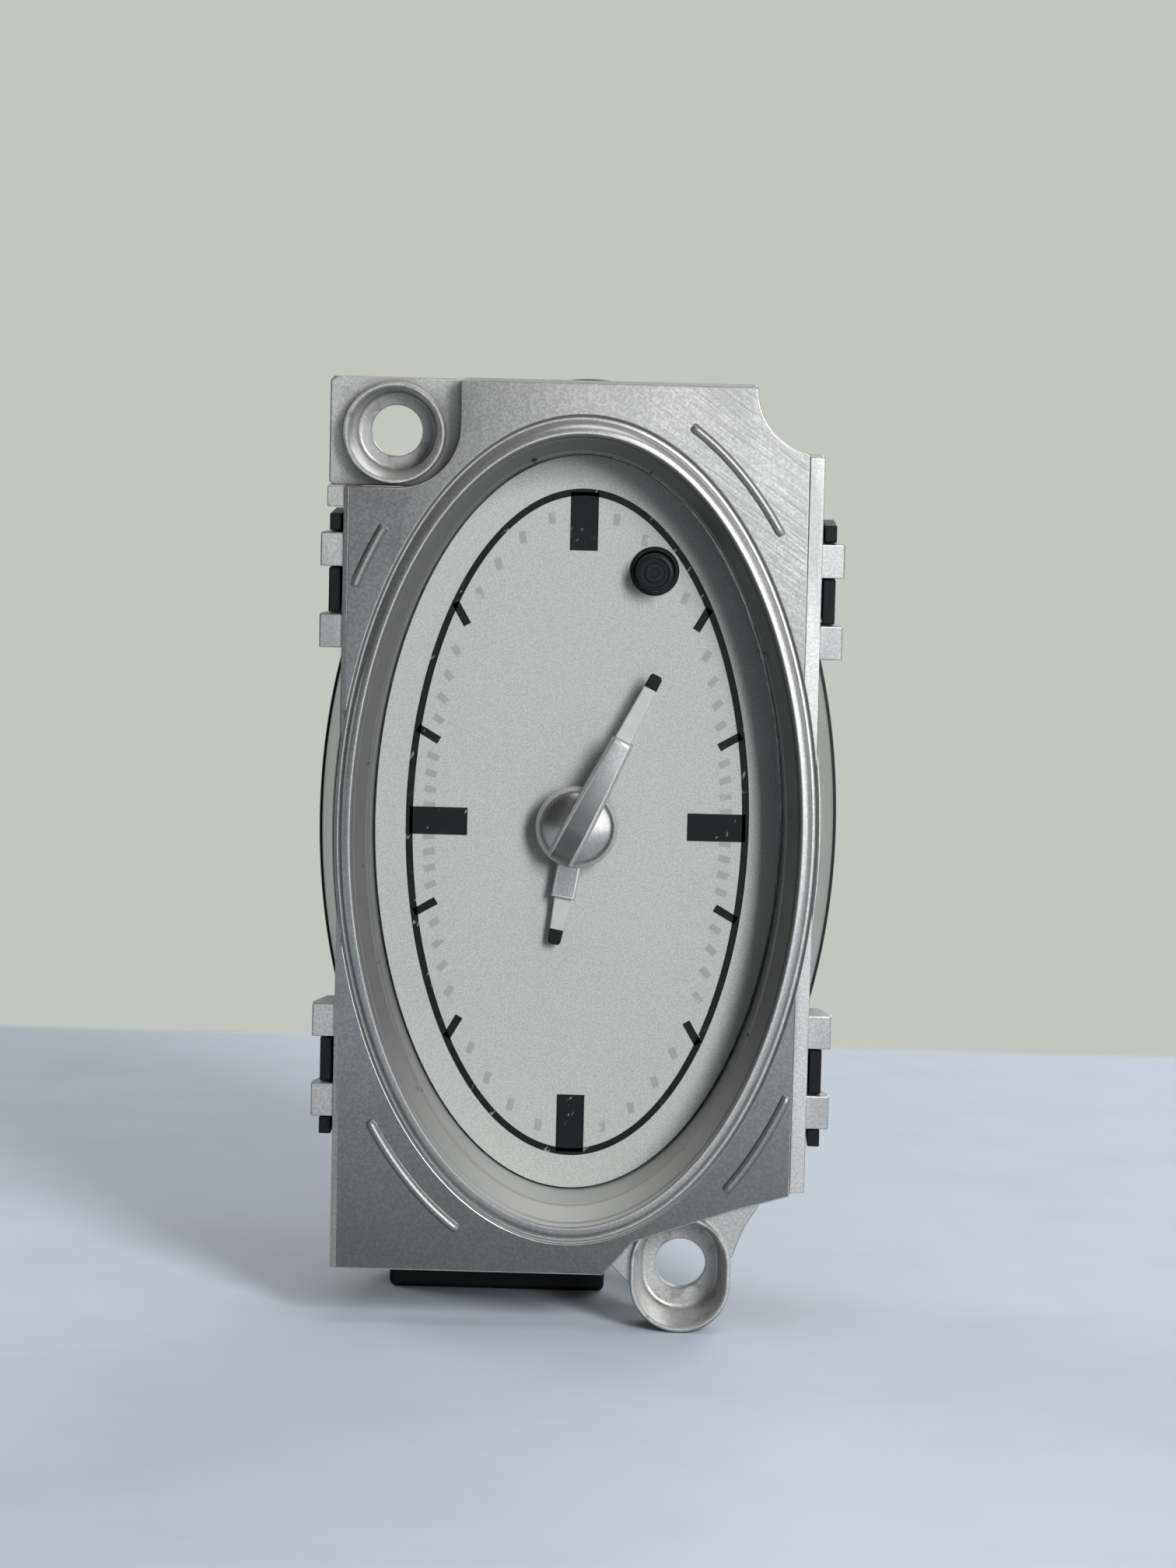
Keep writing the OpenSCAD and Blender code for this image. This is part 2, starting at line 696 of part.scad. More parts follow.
// Printed marks: the oval ring, four hour blocks and eight hour ticks
module dial_marks() {
    a = oval_a - ring_side;
    b = oval_b - ring_end;
    difference() {
        polygon(ellipse(a, b));
        polygon(ellipse(a - ring_line, b - ring_line));
    }
    for (s = [-1, 1]) {
        translate([s * (a - ring_line / 2 - block_l / 2), 0]) square([block_l, block_w], center = true);
        translate([0, s * (b - ring_line / 2 - block_l / 2)]) square([block_w, block_l], center = true);
    }
    for (hour = [1, 2, 4, 5, 7, 8, 10, 11]) {
        dir = 30 * hour;
        reach = ellipse_reach(a - ring_line / 2, b - ring_line / 2, dir);
        rotate(dir) translate([reach - tick_l / 2, 0]) square([tick_l, tick_w], center = true);
    }
}

module dial() {
    edge = foot_off - dial_clear;
    color("gainsboro") place() difference() {
        union() {
            slab(dial_depth, dial_t) polygon(oval(edge));
            slab(dial_depth - mark_t, mark_t + dial_t / 2) dial_marks();
        }
        rod(0, 0, dial_depth - 1, dial_t + 2, tube_r + dial_clear);
        rod(button_x, button_z, dial_depth - 1, dial_t + 2, collar_tube_r + screw_clear);
    }
}

module light_guide() {
    guide_off = case_off - case_wall - guide_clear;
    color([0.85, 0.9, 0.92]) place() difference() {
        slab(y_guide, guide_t) polygon(oval(guide_off));
        rod(0, 0, y_guide - 1, guide_t + 2, tube_r + dial_clear);
        rod(button_x, button_z, y_guide - 1, guide_t + 2, collar_tube_r + screw_clear);
        for (at = lamp_xz) rod(at[0], at[1], bulb_front - bulb_clear, guide_t + 1, lamp_r + lamp_clear);
        for (x = [-1, 1], z = [-1, 1])
            rod(x * post_x, z * post_z, y_mplate - peg_l - end_play, peg_l + 1, peg_r + screw_clear);
        for (at = corner_xz)
            rod(at[0], at[1], y_mplate - peg_l - end_play, peg_l + 1, peg_r + screw_clear);
    }
}

// Hands, drawn along X from the arbor and then turned
module pointer_plan(from, length, hub_r) {
    circle(hub_r);
    polygon([
        [0, -pointer_w / 2], [from, -pointer_w / 2], [length - tip_l / 4, -pointer_tip_w / 2],
        [length, -pointer_tip_w / 4], [length, pointer_tip_w / 4],
        [length - tip_l / 4, pointer_tip_w / 2], [from, pointer_w / 2], [0, pointer_w / 2]
    ]);
}

module minute_pointer() {
    color("whitesmoke") place() difference() {
        slab(y_minute_hand, hand_t) rotate(minute_angle)
            pointer_plan(minute_cover_l, minute_l, pointer_hub_r);
        rod(0, 0, y_minute_hand - 1, hand_t + 2, arbor_r);
    }
}

module minute_cover() {
    hub_r = hub_d / 2;
    dome_r = (pow(hub_r, 2) + pow(hub_dome_h, 2)) / (2 * hub_dome_h);
    half = minute_cover_w / 2;
    color("silver") place() difference() {
        union() {
            intersection() {
                translate([0, y_minute_hand - hub_dome_h + dome_r, 0]) sphere(dome_r);
                rod(0, 0, y_bar - 1, bar_t + 1, hub_r);
            }
            rod(0, 0, y_minute_hand - eps, y_hub_rim - y_minute_hand + eps, hub_r);
            slab(y_bar, bar_t) rotate(minute_angle) polygon([
                [bar_tail - hub_r, -half], [minute_cover_l, -half * bar_taper],
                [minute_cover_l, half * bar_taper], [bar_tail - hub_r, half]
            ]);
        }
        rod(0, 0, y_minute_hand, hub_dome_h + bar_t, hub_r - hub_wall);
        slab(y_minute_hand, bar_t) rotate(minute_angle)
            translate([0, -pointer_w / 2 - screw_clear]) square([minute_l, pointer_w + 2 * screw_clear]);
    }
}

module hour_pointer() {
    color("whitesmoke") place() difference() {
        slab(y_hour_hand, hand_t) rotate(hour_angle) pointer_plan(hour_cover_l, hour_l, hour_hub_r);
        rod(0, 0, y_hour_hand - 1, hand_t + 2, pipe_r);
    }
}

module hour_cover() {
    color("silver") place() difference() {
        slab(y_hour_cover, hand_t) rotate(hour_angle) {
            circle(hour_hub_r);
            translate([0, -hour_cover_w / 2]) square([hour_cover_l, hour_cover_w]);
        }
        rod(0, 0, y_hour_cover - 1, hand_t + 2, pipe_r);
    }
}

module button_collar() {
    color([0.05, 0.05, 0.05]) place() difference() {
        union() {
            rod(button_x, button_z, dial_depth - collar_lip, collar_lip, collar_d / 2);
            rod(button_x, button_z, dial_depth - eps, y_mplate - dial_depth + eps, collar_tube_r);
        }
        rod(button_x, button_z, dial_depth - 2, y_mplate - dial_depth + 4, button_d / 2 + button_slip);
    }
}

module set_button() {
    front = dial_depth - button_h;
    color([0.05, 0.05, 0.05]) place() difference() {
        union() {
            rod(button_x, button_z, front, y_keeper - front + eps, button_d / 2);
            rod(button_x, button_z, y_keeper, keeper_t, button_d / 2 + keeper_out);
            rod(button_x, button_z, y_keeper, y_plunger - y_keeper, pusher_r);
        }
        // Ring groove in the cap
        difference() {
            rod(button_x, button_z, front - 1, 1 + groove_depth, button_d / 2 - groove_edge);
            rod(button_x, button_z, front - 2, 4, button_d / 2 - groove_edge - groove_w);
        }
    }
}

module switch_plunger() {
    color([0.2, 0.2, 0.2]) place() rod(button_x, button_z, y_plunger, plunger_out + plunger_in, plunger_r);
}

module tact_switch() {
    half = switch_w / 2;
    color([0.12, 0.12, 0.13]) place() difference() {
        block(button_x - half, button_x + half, y_switch, y_board, button_z - half, button_z + half);
        rod(
            button_x, button_z, y_switch - 1, 1 + plunger_in + button_travel + keeper_gap,
            plunger_r + run_clear
        );
    }
}

module centre_tube() {
    color("goldenrod") place() difference() {
        rod(0, 0, y_tube, y_train - y_tube, tube_r);
        rod(0, 0, y_tube - 1, y_train - y_tube + 2, pipe_r + run_clear);
    }
}

module mplate_plan() {
    translate([-mplate_x, -mplate_foot]) square([2 * mplate_x, mplate_top + mplate_foot]);
}

module movement_front_plate() {
    color("ivory") place() {
        difference() {
            union() {
                slab(y_mplate, mplate_t) mplate_plan();
                for (at = corner_xz) {
                    rod(at[0], at[1], y_train - eps, y_back_plate - y_train + eps, pillar_r);
                    rod(at[0], at[1], y_mplate - peg_l, peg_l + eps, peg_r);
                }
                rod(motion_xz[0], motion_xz[1], y_train - eps, y_centre_gear - train_gap - y_train, stud_r);
                for (x = [coil_x - core_half + core_w / 2, coil_x + core_half - core_w / 2])
                    rod(x, rotor_xz[1], y_train - eps, y_stator - y_train + eps, core_w / 2);
            }
            rod(0, 0, y_mplate - 1, mplate_t + 2, tube_r);
            for (at = [inter_xz, rotor_xz])
                rod(at[0], at[1], y_mplate + pivot_cover, mplate_t, pivot_r + run_clear);
            for (at = corner_xz) rod(at[0], at[1], y_train + 1, y_back_plate, pillar_hole_r);
        }
    }
}

module movement_rear_plate() {
    color("ivory") place() difference() {
        slab(y_back_plate, mplate_t) mplate_plan();
        for (at = [[0, 0], inter_xz, rotor_xz])
            rod(at[0], at[1], y_back_plate - 1, 1 + mplate_t - pivot_cover, pivot_r + run_clear);
        for (at = corner_xz) rod(at[0], at[1], y_back_plate - 1, mplate_t + 2, pillar_hole_r);
    }
}

module movement_screw(i) {
    at = corner_xz[i - 1];
    shaft = movement_screw_l + mplate_t + eps;
    color("lightsteelblue") place() {
        rod(at[0], at[1], y_back_plate - movement_screw_l, shaft, movement_screw_r);
        rod(at[0], at[1], y_back_face, movement_head_t, movement_head_r);
    }
}

// Minute arbor with its cannon pinion and rear pivot
module minute_arbor() {
    end = y_back_plate - end_play;
    color("lightsteelblue") place() {
        rod(0, 0, y_minute_hand, end - y_minute_hand, arbor_r);
        rod(0, 0, end - eps, pivot_end - end + eps, pivot_r);
        gear(cannon_n, motion_module, motion_dir, y_motion_gear - tooth_over, gear_t + 2 * tooth_over);
    }
}

module centre_wheel() {
    color("goldenrod") place() difference() {
        gear(centre_n, centre_module, inter_dir + 180 / centre_n, y_centre_gear, gear_t);
        rod(0, 0, y_centre_gear - 1, gear_t + 2, arbor_r);
    }
}

module hour_wheel() {
    color("khaki") place() difference() {
        union() {
            gear(hour_n, motion_module, motion_dir + 180 / hour_n, y_hour_gear, gear_t);
            rod(0, 0, y_hour_cover, y_hour_gear - y_hour_cover + eps, pipe_r);
        }
        rod(0, 0, y_hour_cover - 1, y_hour_gear + gear_t - y_hour_cover + 2, arbor_r + run_clear);
    }
}

module motion_wheel() {
    color("khaki") place() difference() {
        union() {
            translate([motion_xz[0], 0, motion_xz[1]])
                gear(motion_n, motion_module, motion_dir + 180 + 180 / motion_n, y_motion_gear, gear_t);
            translate([motion_xz[0], 0, motion_xz[1]])
                gear(motion_pinion_n, motion_module, motion_dir + 180, y_hour_gear - tooth_over, pinion_t);
        }
        rod(motion_xz[0], motion_xz[1], y_train - 1, y_centre_gear - y_train, stud_r + run_clear);
    }
}

module intermediate_wheel() {
    color("khaki") place() {
        translate([inter_xz[0], 0, inter_xz[1]]) {
            gear(inter_n, rotor_module, rotor_dir + 180 / inter_n, y_inter_gear, gear_t);
            gear(inter_pinion_n, centre_module, inter_dir + 180, y_centre_gear - tooth_over, pinion_t);
        }
        rod(inter_xz[0], inter_xz[1], y_train + end_play, y_back_plate - y_train - 2 * end_play, stem_r);
        rod(inter_xz[0], inter_xz[1], pivot_front, pivot_end - pivot_front, pivot_r);
    }
}

module rotor_pinion() {
    color("khaki") place() {
        translate([rotor_xz[0], 0, rotor_xz[1]])
            gear(rotor_n, rotor_module, rotor_dir + 180, y_inter_gear - tooth_over, gear_t + 2 * tooth_over);
        rod(rotor_xz[0], rotor_xz[1], y_train + end_play, y_back_plate - y_train - 2 * end_play, stem_r);
        rod(rotor_xz[0], rotor_xz[1], pivot_front, pivot_end - pivot_front, pivot_r);
    }
}

module rotor_magnet() {
    color("dimgray") place() difference() {
        rod(rotor_xz[0], rotor_xz[1], y_stator - magnet_over, stator_t + 2 * magnet_over, magnet_r);
        rod(rotor_xz[0], rotor_xz[1], y_stator - 1, stator_t + 2, stem_r);
    }
}

module stator() {
    color("gray") place() difference() {
        slab(y_stator, stator_t) {
            translate([coil_x - core_half, rotor_xz[1] - stator_half])
                square([2 * core_half, 2 * stator_half]);
            for (s = [-1, 1])
                translate([coil_x + s * (core_half - core_w / 2) - core_w / 2, coil_z - core_w / 2])
                    square([core_w, rotor_xz[1] - coil_z]);
        }
        rod(rotor_xz[0], rotor_xz[1], y_stator - 1, stator_t + 2, bore_r);
    }
}

module coil_core() {
    color("gray") place() block(
        coil_x - core_half, coil_x + core_half, y_coil - core_t / 2, y_coil + core_t / 2,
        coil_z - core_w / 2, coil_z + core_w / 2
    );
}

module coil_tube(x, l, r) translate([x, y_coil, coil_z]) rotate([0, 90, 0]) cylinder(r = r, h = l);

module coil_bobbin() {
    start = coil_x - coil_l / 2;
    hw = core_w / 2 + core_slip;
    ht = core_t / 2 + core_slip;
    color("darkred") place() difference() {
        union() {
            coil_tube(start - flange_t, coil_l + 2 * flange_t, barrel_r);
            for (x = [start - flange_t, start + coil_l]) coil_tube(x, flange_t, coil_r);
        }
        block(
            start - flange_t - 1, start + coil_l + flange_t + 1,
            y_coil - ht, y_coil + ht, coil_z - hw, coil_z + hw
        );
    }
}

module coil_winding() {
    color("chocolate") place() difference() {
        coil_tube(coil_x - coil_l / 2, coil_l, coil_r - winding_in);
        coil_tube(coil_x - coil_l / 2 - 1, coil_l + 2, barrel_r);
    }
}

// A square bar along the depth, for a pin or its hole
module pin_bar(at, half, y0, y1) block(at[0] - half, at[0] + half, y0, y1, at[1] - half, at[1] + half);

module circuit_board() {
    color("darkgreen") place() difference() {
        slab(y_board, board_t) {
            intersection() {
                translate([-board_x, -board_z]) square([2 * board_x, 2 * board_z]);
                polygon(oval(case_off - case_wall - board_clear));
            }
            translate([shroud_x - tongue_half, pin_z - tongue_over])
                square([2 * tongue_half, tongue_over - pin_z - board_z / 2]);
        }
        for (at = lamp_xz) rod(at[0], at[1], y_board - 1, board_t + 2, holder_r + lamp_clear);
        for (at = board_screw_xz)
            rod(at[0], at[1], y_board - 1, board_t + 2, board_screw_r + screw_clear);
        for (at = pin_xz) pin_bar(at, pin_w / 2 + screw_clear, y_board - 1, y_board_back + 1);
    }
}

module board_screw(i) {
    at = board_screw_xz[i - 1];
    color("lightsteelblue") place() {
        rod(at[0], at[1], y_board - board_head_t, board_head_t, board_head_r);
        rod(at[0], at[1], y_board - eps, y_rear_wall - y_board - board_screw_short, board_screw_r);
    }
}

module clock_chip() {
    color([0.1, 0.1, 0.1]) place()
        block(chip_x[0], chip_x[1], y_board_back, y_board_back + chip_t, chip_z[0], chip_z[1]);
}

module quartz_crystal() {
    color("silver") place() translate([crystal_xz[0], y_board_back + crystal_r, crystal_xz[1]])
        rotate([0, 90, 0]) cylinder(r = crystal_r, h = crystal_l);
}

module capacitor(i) {
    at = capacitor_xz[i - 1];
    color("midnightblue") place() rod(at[0], at[1], y_board - capacitor_l, capacitor_l, capacitor_r);
}

module lamp_holder(i) {
    at = lamp_xz[i - 1];
    color([0.25, 0.25, 0.25]) place() difference() {
        union() {
            rod(at[0], at[1], holder_front, case_depth - holder_front + eps, holder_r);
            rod(at[0], at[1], case_depth, holder_head_t, holder_head_r);
            translate([at[0], case_depth + holder_head_t, at[1]])
                block(-holder_r, holder_r, -eps, holder_bar, -holder_bar / 2, holder_bar / 2);
        }
        rod(at[0], at[1], holder_front - 1, bulb_front + bulb_l - holder_front + 1, lamp_r + screw_clear);
    }
}

module lamp(i) {
    at = lamp_xz[i - 1];
    color("lightcyan") place() {
        rod(at[0], at[1], bulb_front + lamp_r, bulb_l - lamp_r, lamp_r);
        intersection() {
            translate([at[0], bulb_front + lamp_r, at[1]]) sphere(lamp_r);
            rod(at[0], at[1], bulb_front - 1, lamp_r + 1 + eps, lamp_r + 1);
        }
    }
}

// Plug header: it stands on the board, carries the pins and passes through a window in the rear wall
module plug_header() {
    color([0.08, 0.08, 0.08]) place() difference() {
        plug_block(shroud_wall, y_board_back, y_shroud);
        plug_block(0, case_depth, y_shroud + 1);
        for (at = pin_xz) pin_bar(at, pin_w / 2, y_board_back - 1, case_depth + 1);
    }
}

module connector_pin(i) {
    color("gold") place() pin_bar(pin_xz[i - 1], pin_w / 2, y_board - pin_stub, y_shroud - pin_short);
}

front_frame();
rear_housing();
dial();
light_guide();
minute_cover();
minute_pointer();
hour_cover();
hour_pointer();
button_collar();
set_button();
switch_plunger();
tact_switch();
centre_tube();
movement_front_plate();
movement_rear_plate();
for (i = [1:4]) movement_screw(i);
minute_arbor();
centre_wheel();
hour_wheel();
motion_wheel();
intermediate_wheel();
rotor_pinion();
rotor_magnet();
stator();
coil_core();
coil_bobbin();
coil_winding();
circuit_board();
for (i = [1:4]) board_screw(i);
clock_chip();
quartz_crystal();
for (i = [1:2]) capacitor(i);
for (i = [1:2]) lamp_holder(i);
for (i = [1:2]) lamp(i);
plug_header();
for (i = [1:pin_n]) connector_pin(i);
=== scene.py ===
"""Looks of an oval dashboard clock: silver frame, flat dial, hands, set button and black rear housing."""

from math import acos, asin, cos, degrees, hypot, pi, radians, sin, sqrt, tan

import bmesh
import bpy
from mathutils import Matrix, Vector

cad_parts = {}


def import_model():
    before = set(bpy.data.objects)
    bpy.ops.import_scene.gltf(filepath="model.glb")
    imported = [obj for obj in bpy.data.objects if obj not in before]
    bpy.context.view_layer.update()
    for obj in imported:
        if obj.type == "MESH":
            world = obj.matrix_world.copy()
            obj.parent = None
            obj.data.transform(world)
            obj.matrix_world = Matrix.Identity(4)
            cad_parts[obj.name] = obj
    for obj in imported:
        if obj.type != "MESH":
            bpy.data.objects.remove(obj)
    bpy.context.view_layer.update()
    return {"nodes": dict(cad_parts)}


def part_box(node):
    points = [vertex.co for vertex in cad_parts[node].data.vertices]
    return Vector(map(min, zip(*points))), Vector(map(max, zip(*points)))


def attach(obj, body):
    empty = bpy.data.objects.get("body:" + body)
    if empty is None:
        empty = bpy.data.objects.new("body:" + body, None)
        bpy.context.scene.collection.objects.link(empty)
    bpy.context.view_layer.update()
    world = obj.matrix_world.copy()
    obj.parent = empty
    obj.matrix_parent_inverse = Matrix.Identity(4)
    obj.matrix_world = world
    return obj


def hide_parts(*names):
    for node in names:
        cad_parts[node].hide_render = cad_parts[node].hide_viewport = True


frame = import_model()

MM = 0.001

# Sizes in millimetres and degrees, about the arbor: X to the right, depth behind the flat front, Z up
OVAL_A = 24.5
OVAL_B = 43.1
END_STRETCH = 1.2
BEAD_H = 1.2
GROOVE = 1.3
STEP = -1.9
LEDGE = 1.6
WEB_BACK = 2.6
FOOT = -2.35
WELL_BACK = 8.7
FLARE = 3.2
CASE = 3.6
# Flat front and skirt
HALF_W = 25.5
HALF_H = 48.0
FLAT_RIGHT = 23.9
FLAT_LEFT = 24.95
PLATE_T = 2.0
SKIRT = 9.5
SKIRT_WALL = 1.5
APART = 0.04
NOTCH_R = 7.3
CUT_RIGHT = -38.4
CUT_MIDDLE = (17.8, -40.6)
CUT_LEFT = (7.2, -44.3)
CUT_FOOT = (4.0, -48.0)
# Ear and lug
POCKET_RIGHT = -13.25
POCKET_FOOT = 36.45
POCKET_ROUND = 6.7
POCKET_DEPTH = 3.0
EAR_REACH = 27.3
EAR_HOLE = (-20.3, 42.2)
LUG_HOLE = (12.4, -47.7)
LUG_STRETCH = 2.0
EAR_CUP_FRONT = 0.5
EAR_WALL = 1.4
CUP_R = 5.45
SEAT_DEPTH = 6.0
SEAT_T = 1.6
HOLE_R = 2.75
# Tabs, clips and ribs
TAB_H = 3.6
TAB_GAP = 5.1
TAB_OUT = 2.4
TAB_FRONT = 0.7
TAB_BACK = 6.4
CLIP_Z = 25.35
CLIP_INNER = 20.5
CLIP_BACK = 11.6
CLIP_CLEAR = 0.2
FINGER_T = 1.3
FINGER_H = 1.8
FINGER_FRONT = 1.2
RIB_OUT = 4.4
RIB_HALF = 0.55
RIB_H = 0.7
RIB_SPANS = ((43, 67), (137, 147), (222, 246), (-54, -36))
# Dial
DIAL = 8.0
DIAL_T = 0.8
DIAL_EDGE = -2.6
TUBE_HOLE_R = 2.85
COLLAR_HOLE_R = 2.51
RING_A = 18.6
RING_B = 36.4
RING_LINE = 0.75
BLOCK_L = 6.3
BLOCK_W = 3.0
TICK_L = 2.7
TICK_W = 0.85
MINUTE_GAP = 1.5
MINUTE_BAR_L = 1.25
MINUTE_BAR_W = 0.7
INK_RISE = 0.05
INK_SINK = 0.02
GREY_INK_RISE = 0.03
# Hands
HUB_R = 4.45
HUB_TOP = 2.95
HUB_SEAT = 4.85
HUB_BACK = 5.6
BAR_PROUD = 0.3
MINUTE_L = 18.6
MINUTE_COVER_L = 10.8
HOUR_L = 13.2
HOUR_COVER_L = 8.0
HOUR_COVER_HALF = 1.3
HOUR_FRONT = 5.9
HOUR_SEAT = 6.5
DISC_R = 2.8
PIPE_OUT = 1.68
POINTER_T = 0.6
BLADE_HALF = (0.95, 0.68)
TIP_L = 1.6
MINUTE_ANGLE = 63.6
HOUR_ANGLE = -99.7
# Set button
BUTTON_XZ = (7.7, 27.7)
BUTTON_R = 2.05
BUTTON_FRONT = 5.0
FLANGE_R = 2.85
FLANGE_FRONT = 12.1
FLANGE_BACK = 12.9
STEM_R = 1.3
STEM_BACK = 18.1
COLLAR_R = 2.65
COLLAR_FRONT = 7.6
COLLAR_BACK = 11.8
# Case, plug header and lamp holders
CASE_FRONT = 9.6
CASE_BACK = 30.0
FOOT_FRONT = 20.0
CASE_WALL = 1.8
CASE_ROUND = 1.2
FOOT_LEFT = -20.0
FOOT_RIGHT = 4.0
FOOT_H = 16.0
HEADER_XZ = (-8.0, -46.85)
HEADER_HALF = (8.4, 5.3)
HEADER_BORE = (7.0, 3.9)
HEADER_FRONT = 25.4
HEADER_BACK = 36.0
LAMP_Z = 31.0
HOLDER_R = 3.8
HOLDER_BORE_R = 2.55
HOLDER_FRONT = 16.8
HOLDER_SEAT = 20.4
HEAD_R = 5.4
HEAD_BACK = 31.6
AXIS_R = 0.02
QUARTERS = ((1, 1), (1, -1), (-1, 1), (-1, -1))

# Place of the arbor and the flat front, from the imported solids
arbor_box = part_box("minute_arbor")
ARBOR_X = (arbor_box[0].x + arbor_box[1].x) / 2 / MM
ARBOR_Z = (arbor_box[0].z + arbor_box[1].z) / 2 / MM
FACE_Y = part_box("front_frame")[0].y / MM + BEAD_H


def row(x, depth, z):
    """A point in the row frame, in metres, from millimetres about the arbor and behind the flat front."""
    return Vector(((ARBOR_X + x) * MM, (FACE_Y + depth) * MM, (ARBOR_Z + z) * MM))


def plan(u, v, w):
    """Places an outline drawn in the front view at depth w."""
    return row(u, w, v)


def ring_at(outline, depth):
    """An outline drawn in the front view, placed at one depth."""
    return [plan(p.x, p.y, depth) for p in outline]


# Outlines


def oval(offset, angle):
    return Vector(((OVAL_A + offset) * cos(angle), (OVAL_B + END_STRETCH * offset) * sin(angle)))


def oval_arc(offset, start, end, steps):
    return [oval(offset, start + (end - start) * i / steps) for i in range(steps + 1)]


def arc(centre, radius, start, end, steps):
    """Points on a circle, between two angles in degrees."""
    points = []
    for i in range(steps + 1):
        angle = radians(start + (end - start) * i / steps)
        points.append(Vector(centre) + radius * Vector((cos(angle), sin(angle))))
    return points


def rectangle(x0, x1, z0, z1):
    return [(x0, z0), (x1, z0), (x1, z1), (x0, z1)]


def rectangle_about(centre, half):
    x, z = centre
    return rectangle(x - half[0], x + half[0], z - half[1], z + half[1])


def rounded(points, cut):
    """A closed outline with each corner rounded over a length along its sides."""
    steps = 4
    result = []
    for i, point in enumerate(points):
        corner = Vector(point)
        before = Vector(points[i - 1]) - corner
        after = Vector(points[(i + 1) % len(points)]) - corner
        reach = min(cut, 0.45 * before.length, 0.45 * after.length)
        start = corner + before.normalized() * reach
        end = corner + after.normalized() * reach
        for k in range(steps + 1):
            t = k / steps
            result.append((1 - t) ** 2 * start + 2 * t * (1 - t) * corner + t**2 * end)
    return result


def inset(outline, by):
    """The outline moved inwards, with its corners kept."""
    count = len(outline)
    area = sum(outline[i - 1].cross(outline[i]) for i in range(count))
    inward = 1 if area > 0 else -1
    result = []
    for i, point in enumerate(outline):
        first = (point - outline[i - 1]).normalized()
        second = (outline[(i + 1) % count] - point).normalized()
        a = Vector((-first.y, first.x)) * inward
        b = Vector((-second.y, second.x)) * inward
        result.append(point + (a + b) * (by / max(1 + a.dot(b), 0.4)))
    return result


def stadium(radius, stretch):
    """A circle drawn out upwards."""
    steps = 72
    points = []
    for i in range(steps):
        angle = 2 * pi * (i + 0.5) / steps
        lift = stretch / 2 if sin(angle) > 0 else -stretch / 2
        points.append(Vector((radius * cos(angle), radius * sin(angle) + lift)))
    return points


# Meshes


def loft(bm, rings, around=False):
    """Joins rings of points with faces. The end rings are capped, or joined if the loft goes around."""
    made = [[bm.verts.new(point) for point in ring] for ring in rings]
    pairs = list(zip(made, made[1:]))
    if around:
        pairs.append((made[-1], made[0]))
    for first, second in pairs:
        for i in range(len(first)):
            bm.faces.new((first[i - 1], first[i], second[i], second[i - 1]))
    if not around:
        bm.faces.new(made[0])
        bm.faces.new(made[-1])


def prism(bm, outline, start, end, edge, place=plan, steps=3):
    """A solid along one axis, with its two end edges rounded."""
    outline = [Vector(point) for point in outline]
    bends = []
    for k in range(steps + 1):
        angle = pi / 2 * k / steps
        bends.append((edge * (1 - sin(angle)), edge * (1 - cos(angle))))
    rings = []
    for by, rise in bends:
        rings.append([place(p.x, p.y, start + rise) for p in inset(outline, by)])
    for by, rise in reversed(bends):
        rings.append([place(p.x, p.y, end - rise) for p in inset(outline, by)])
    loft(bm, rings)


def box(bm, x0, x1, depth0, depth1, z0, z1, edge=0.15):
    """A block with all its edges rounded."""
    prism(bm, rounded(rectangle(x0, x1, z0, z1), edge), depth0, depth1, edge)


def lathe(bm, profile, centre, steps, around=False):
    """A profile of radius and depth turned about an axis along the depth."""
    rings = [ring_at(arc(centre, radius, 0, 360, steps)[:-1], depth) for radius, depth in profile]
    loft(bm, rings, around=around)


def oval_section(profile, angle):
    """A profile of offset and depth, placed at one angle of the oval."""
    points = [(oval(offset, angle), depth) for offset, depth in profile]
    return [row(p.x, depth, p.y) for p, depth in points]


def sweep_oval(bm, profile, steps=360):
    """A closed profile of offset and depth, swept round the oval."""
    loft(bm, [oval_section(profile, 2 * pi * i / steps) for i in range(steps)], around=True)


def placed(name, data):
    """A new object in the scene."""
    made = bpy.data.objects.new(name, data)
    bpy.context.scene.collection.objects.link(made)
    return made


def piece(name, bm, material, body="case", stands_for=(), sharp=40, edges=None):
    """Makes a piece from the mesh, with crisp edges above an angle, and lets it ride on its body.

    Faces whose normal passes a test can have a material of their own.
    """
    bmesh.ops.remove_doubles(bm, verts=bm.verts, dist=1e-8)
    bmesh.ops.recalc_face_normals(bm, faces=bm.faces)
    for face in bm.faces:
        face.smooth = True
    for edge in bm.edges:
        if edge.is_manifold and edge.calc_face_angle(0) > radians(sharp):
            edge.smooth = False
    mesh = bpy.data.meshes.new(name)
    bm.to_mesh(mesh)
    bm.free()
    mesh.materials.append(material)
    if edges:
        mesh.materials.append(edges[0])
        for face in mesh.polygons:
            face.material_index = int(edges[1](face.normal))
    made = placed(name, mesh)
    normals = made.modifiers.new("Flat faces stay flat", "WEIGHTED_NORMAL")
    normals.keep_sharp = True
    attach(made, body)
    if stands_for:
        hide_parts(*stands_for)


# Materials


def set_inputs(node, **values):
    """Sets fixed values in a node's inputs, whose names have _ for a space."""
    for name, value in values.items():
        node.inputs[name.replace("_", " ")].default_value = value


def new_node(tree, kind, **values):
    node = tree.nodes.new("ShaderNode" + kind)
    set_inputs(node, **values)
    return node


def wired(tree, kind, operation, result, *values):
    """The result of a math node, whose inputs are sockets or fixed values."""
    node = new_node(tree, kind)
    node.operation = operation
    for value, end in zip(values, node.inputs):
        if isinstance(value, bpy.types.NodeSocket):
            tree.links.new(value, end)
        else:
            end.default_value = value
    return node.outputs[result]


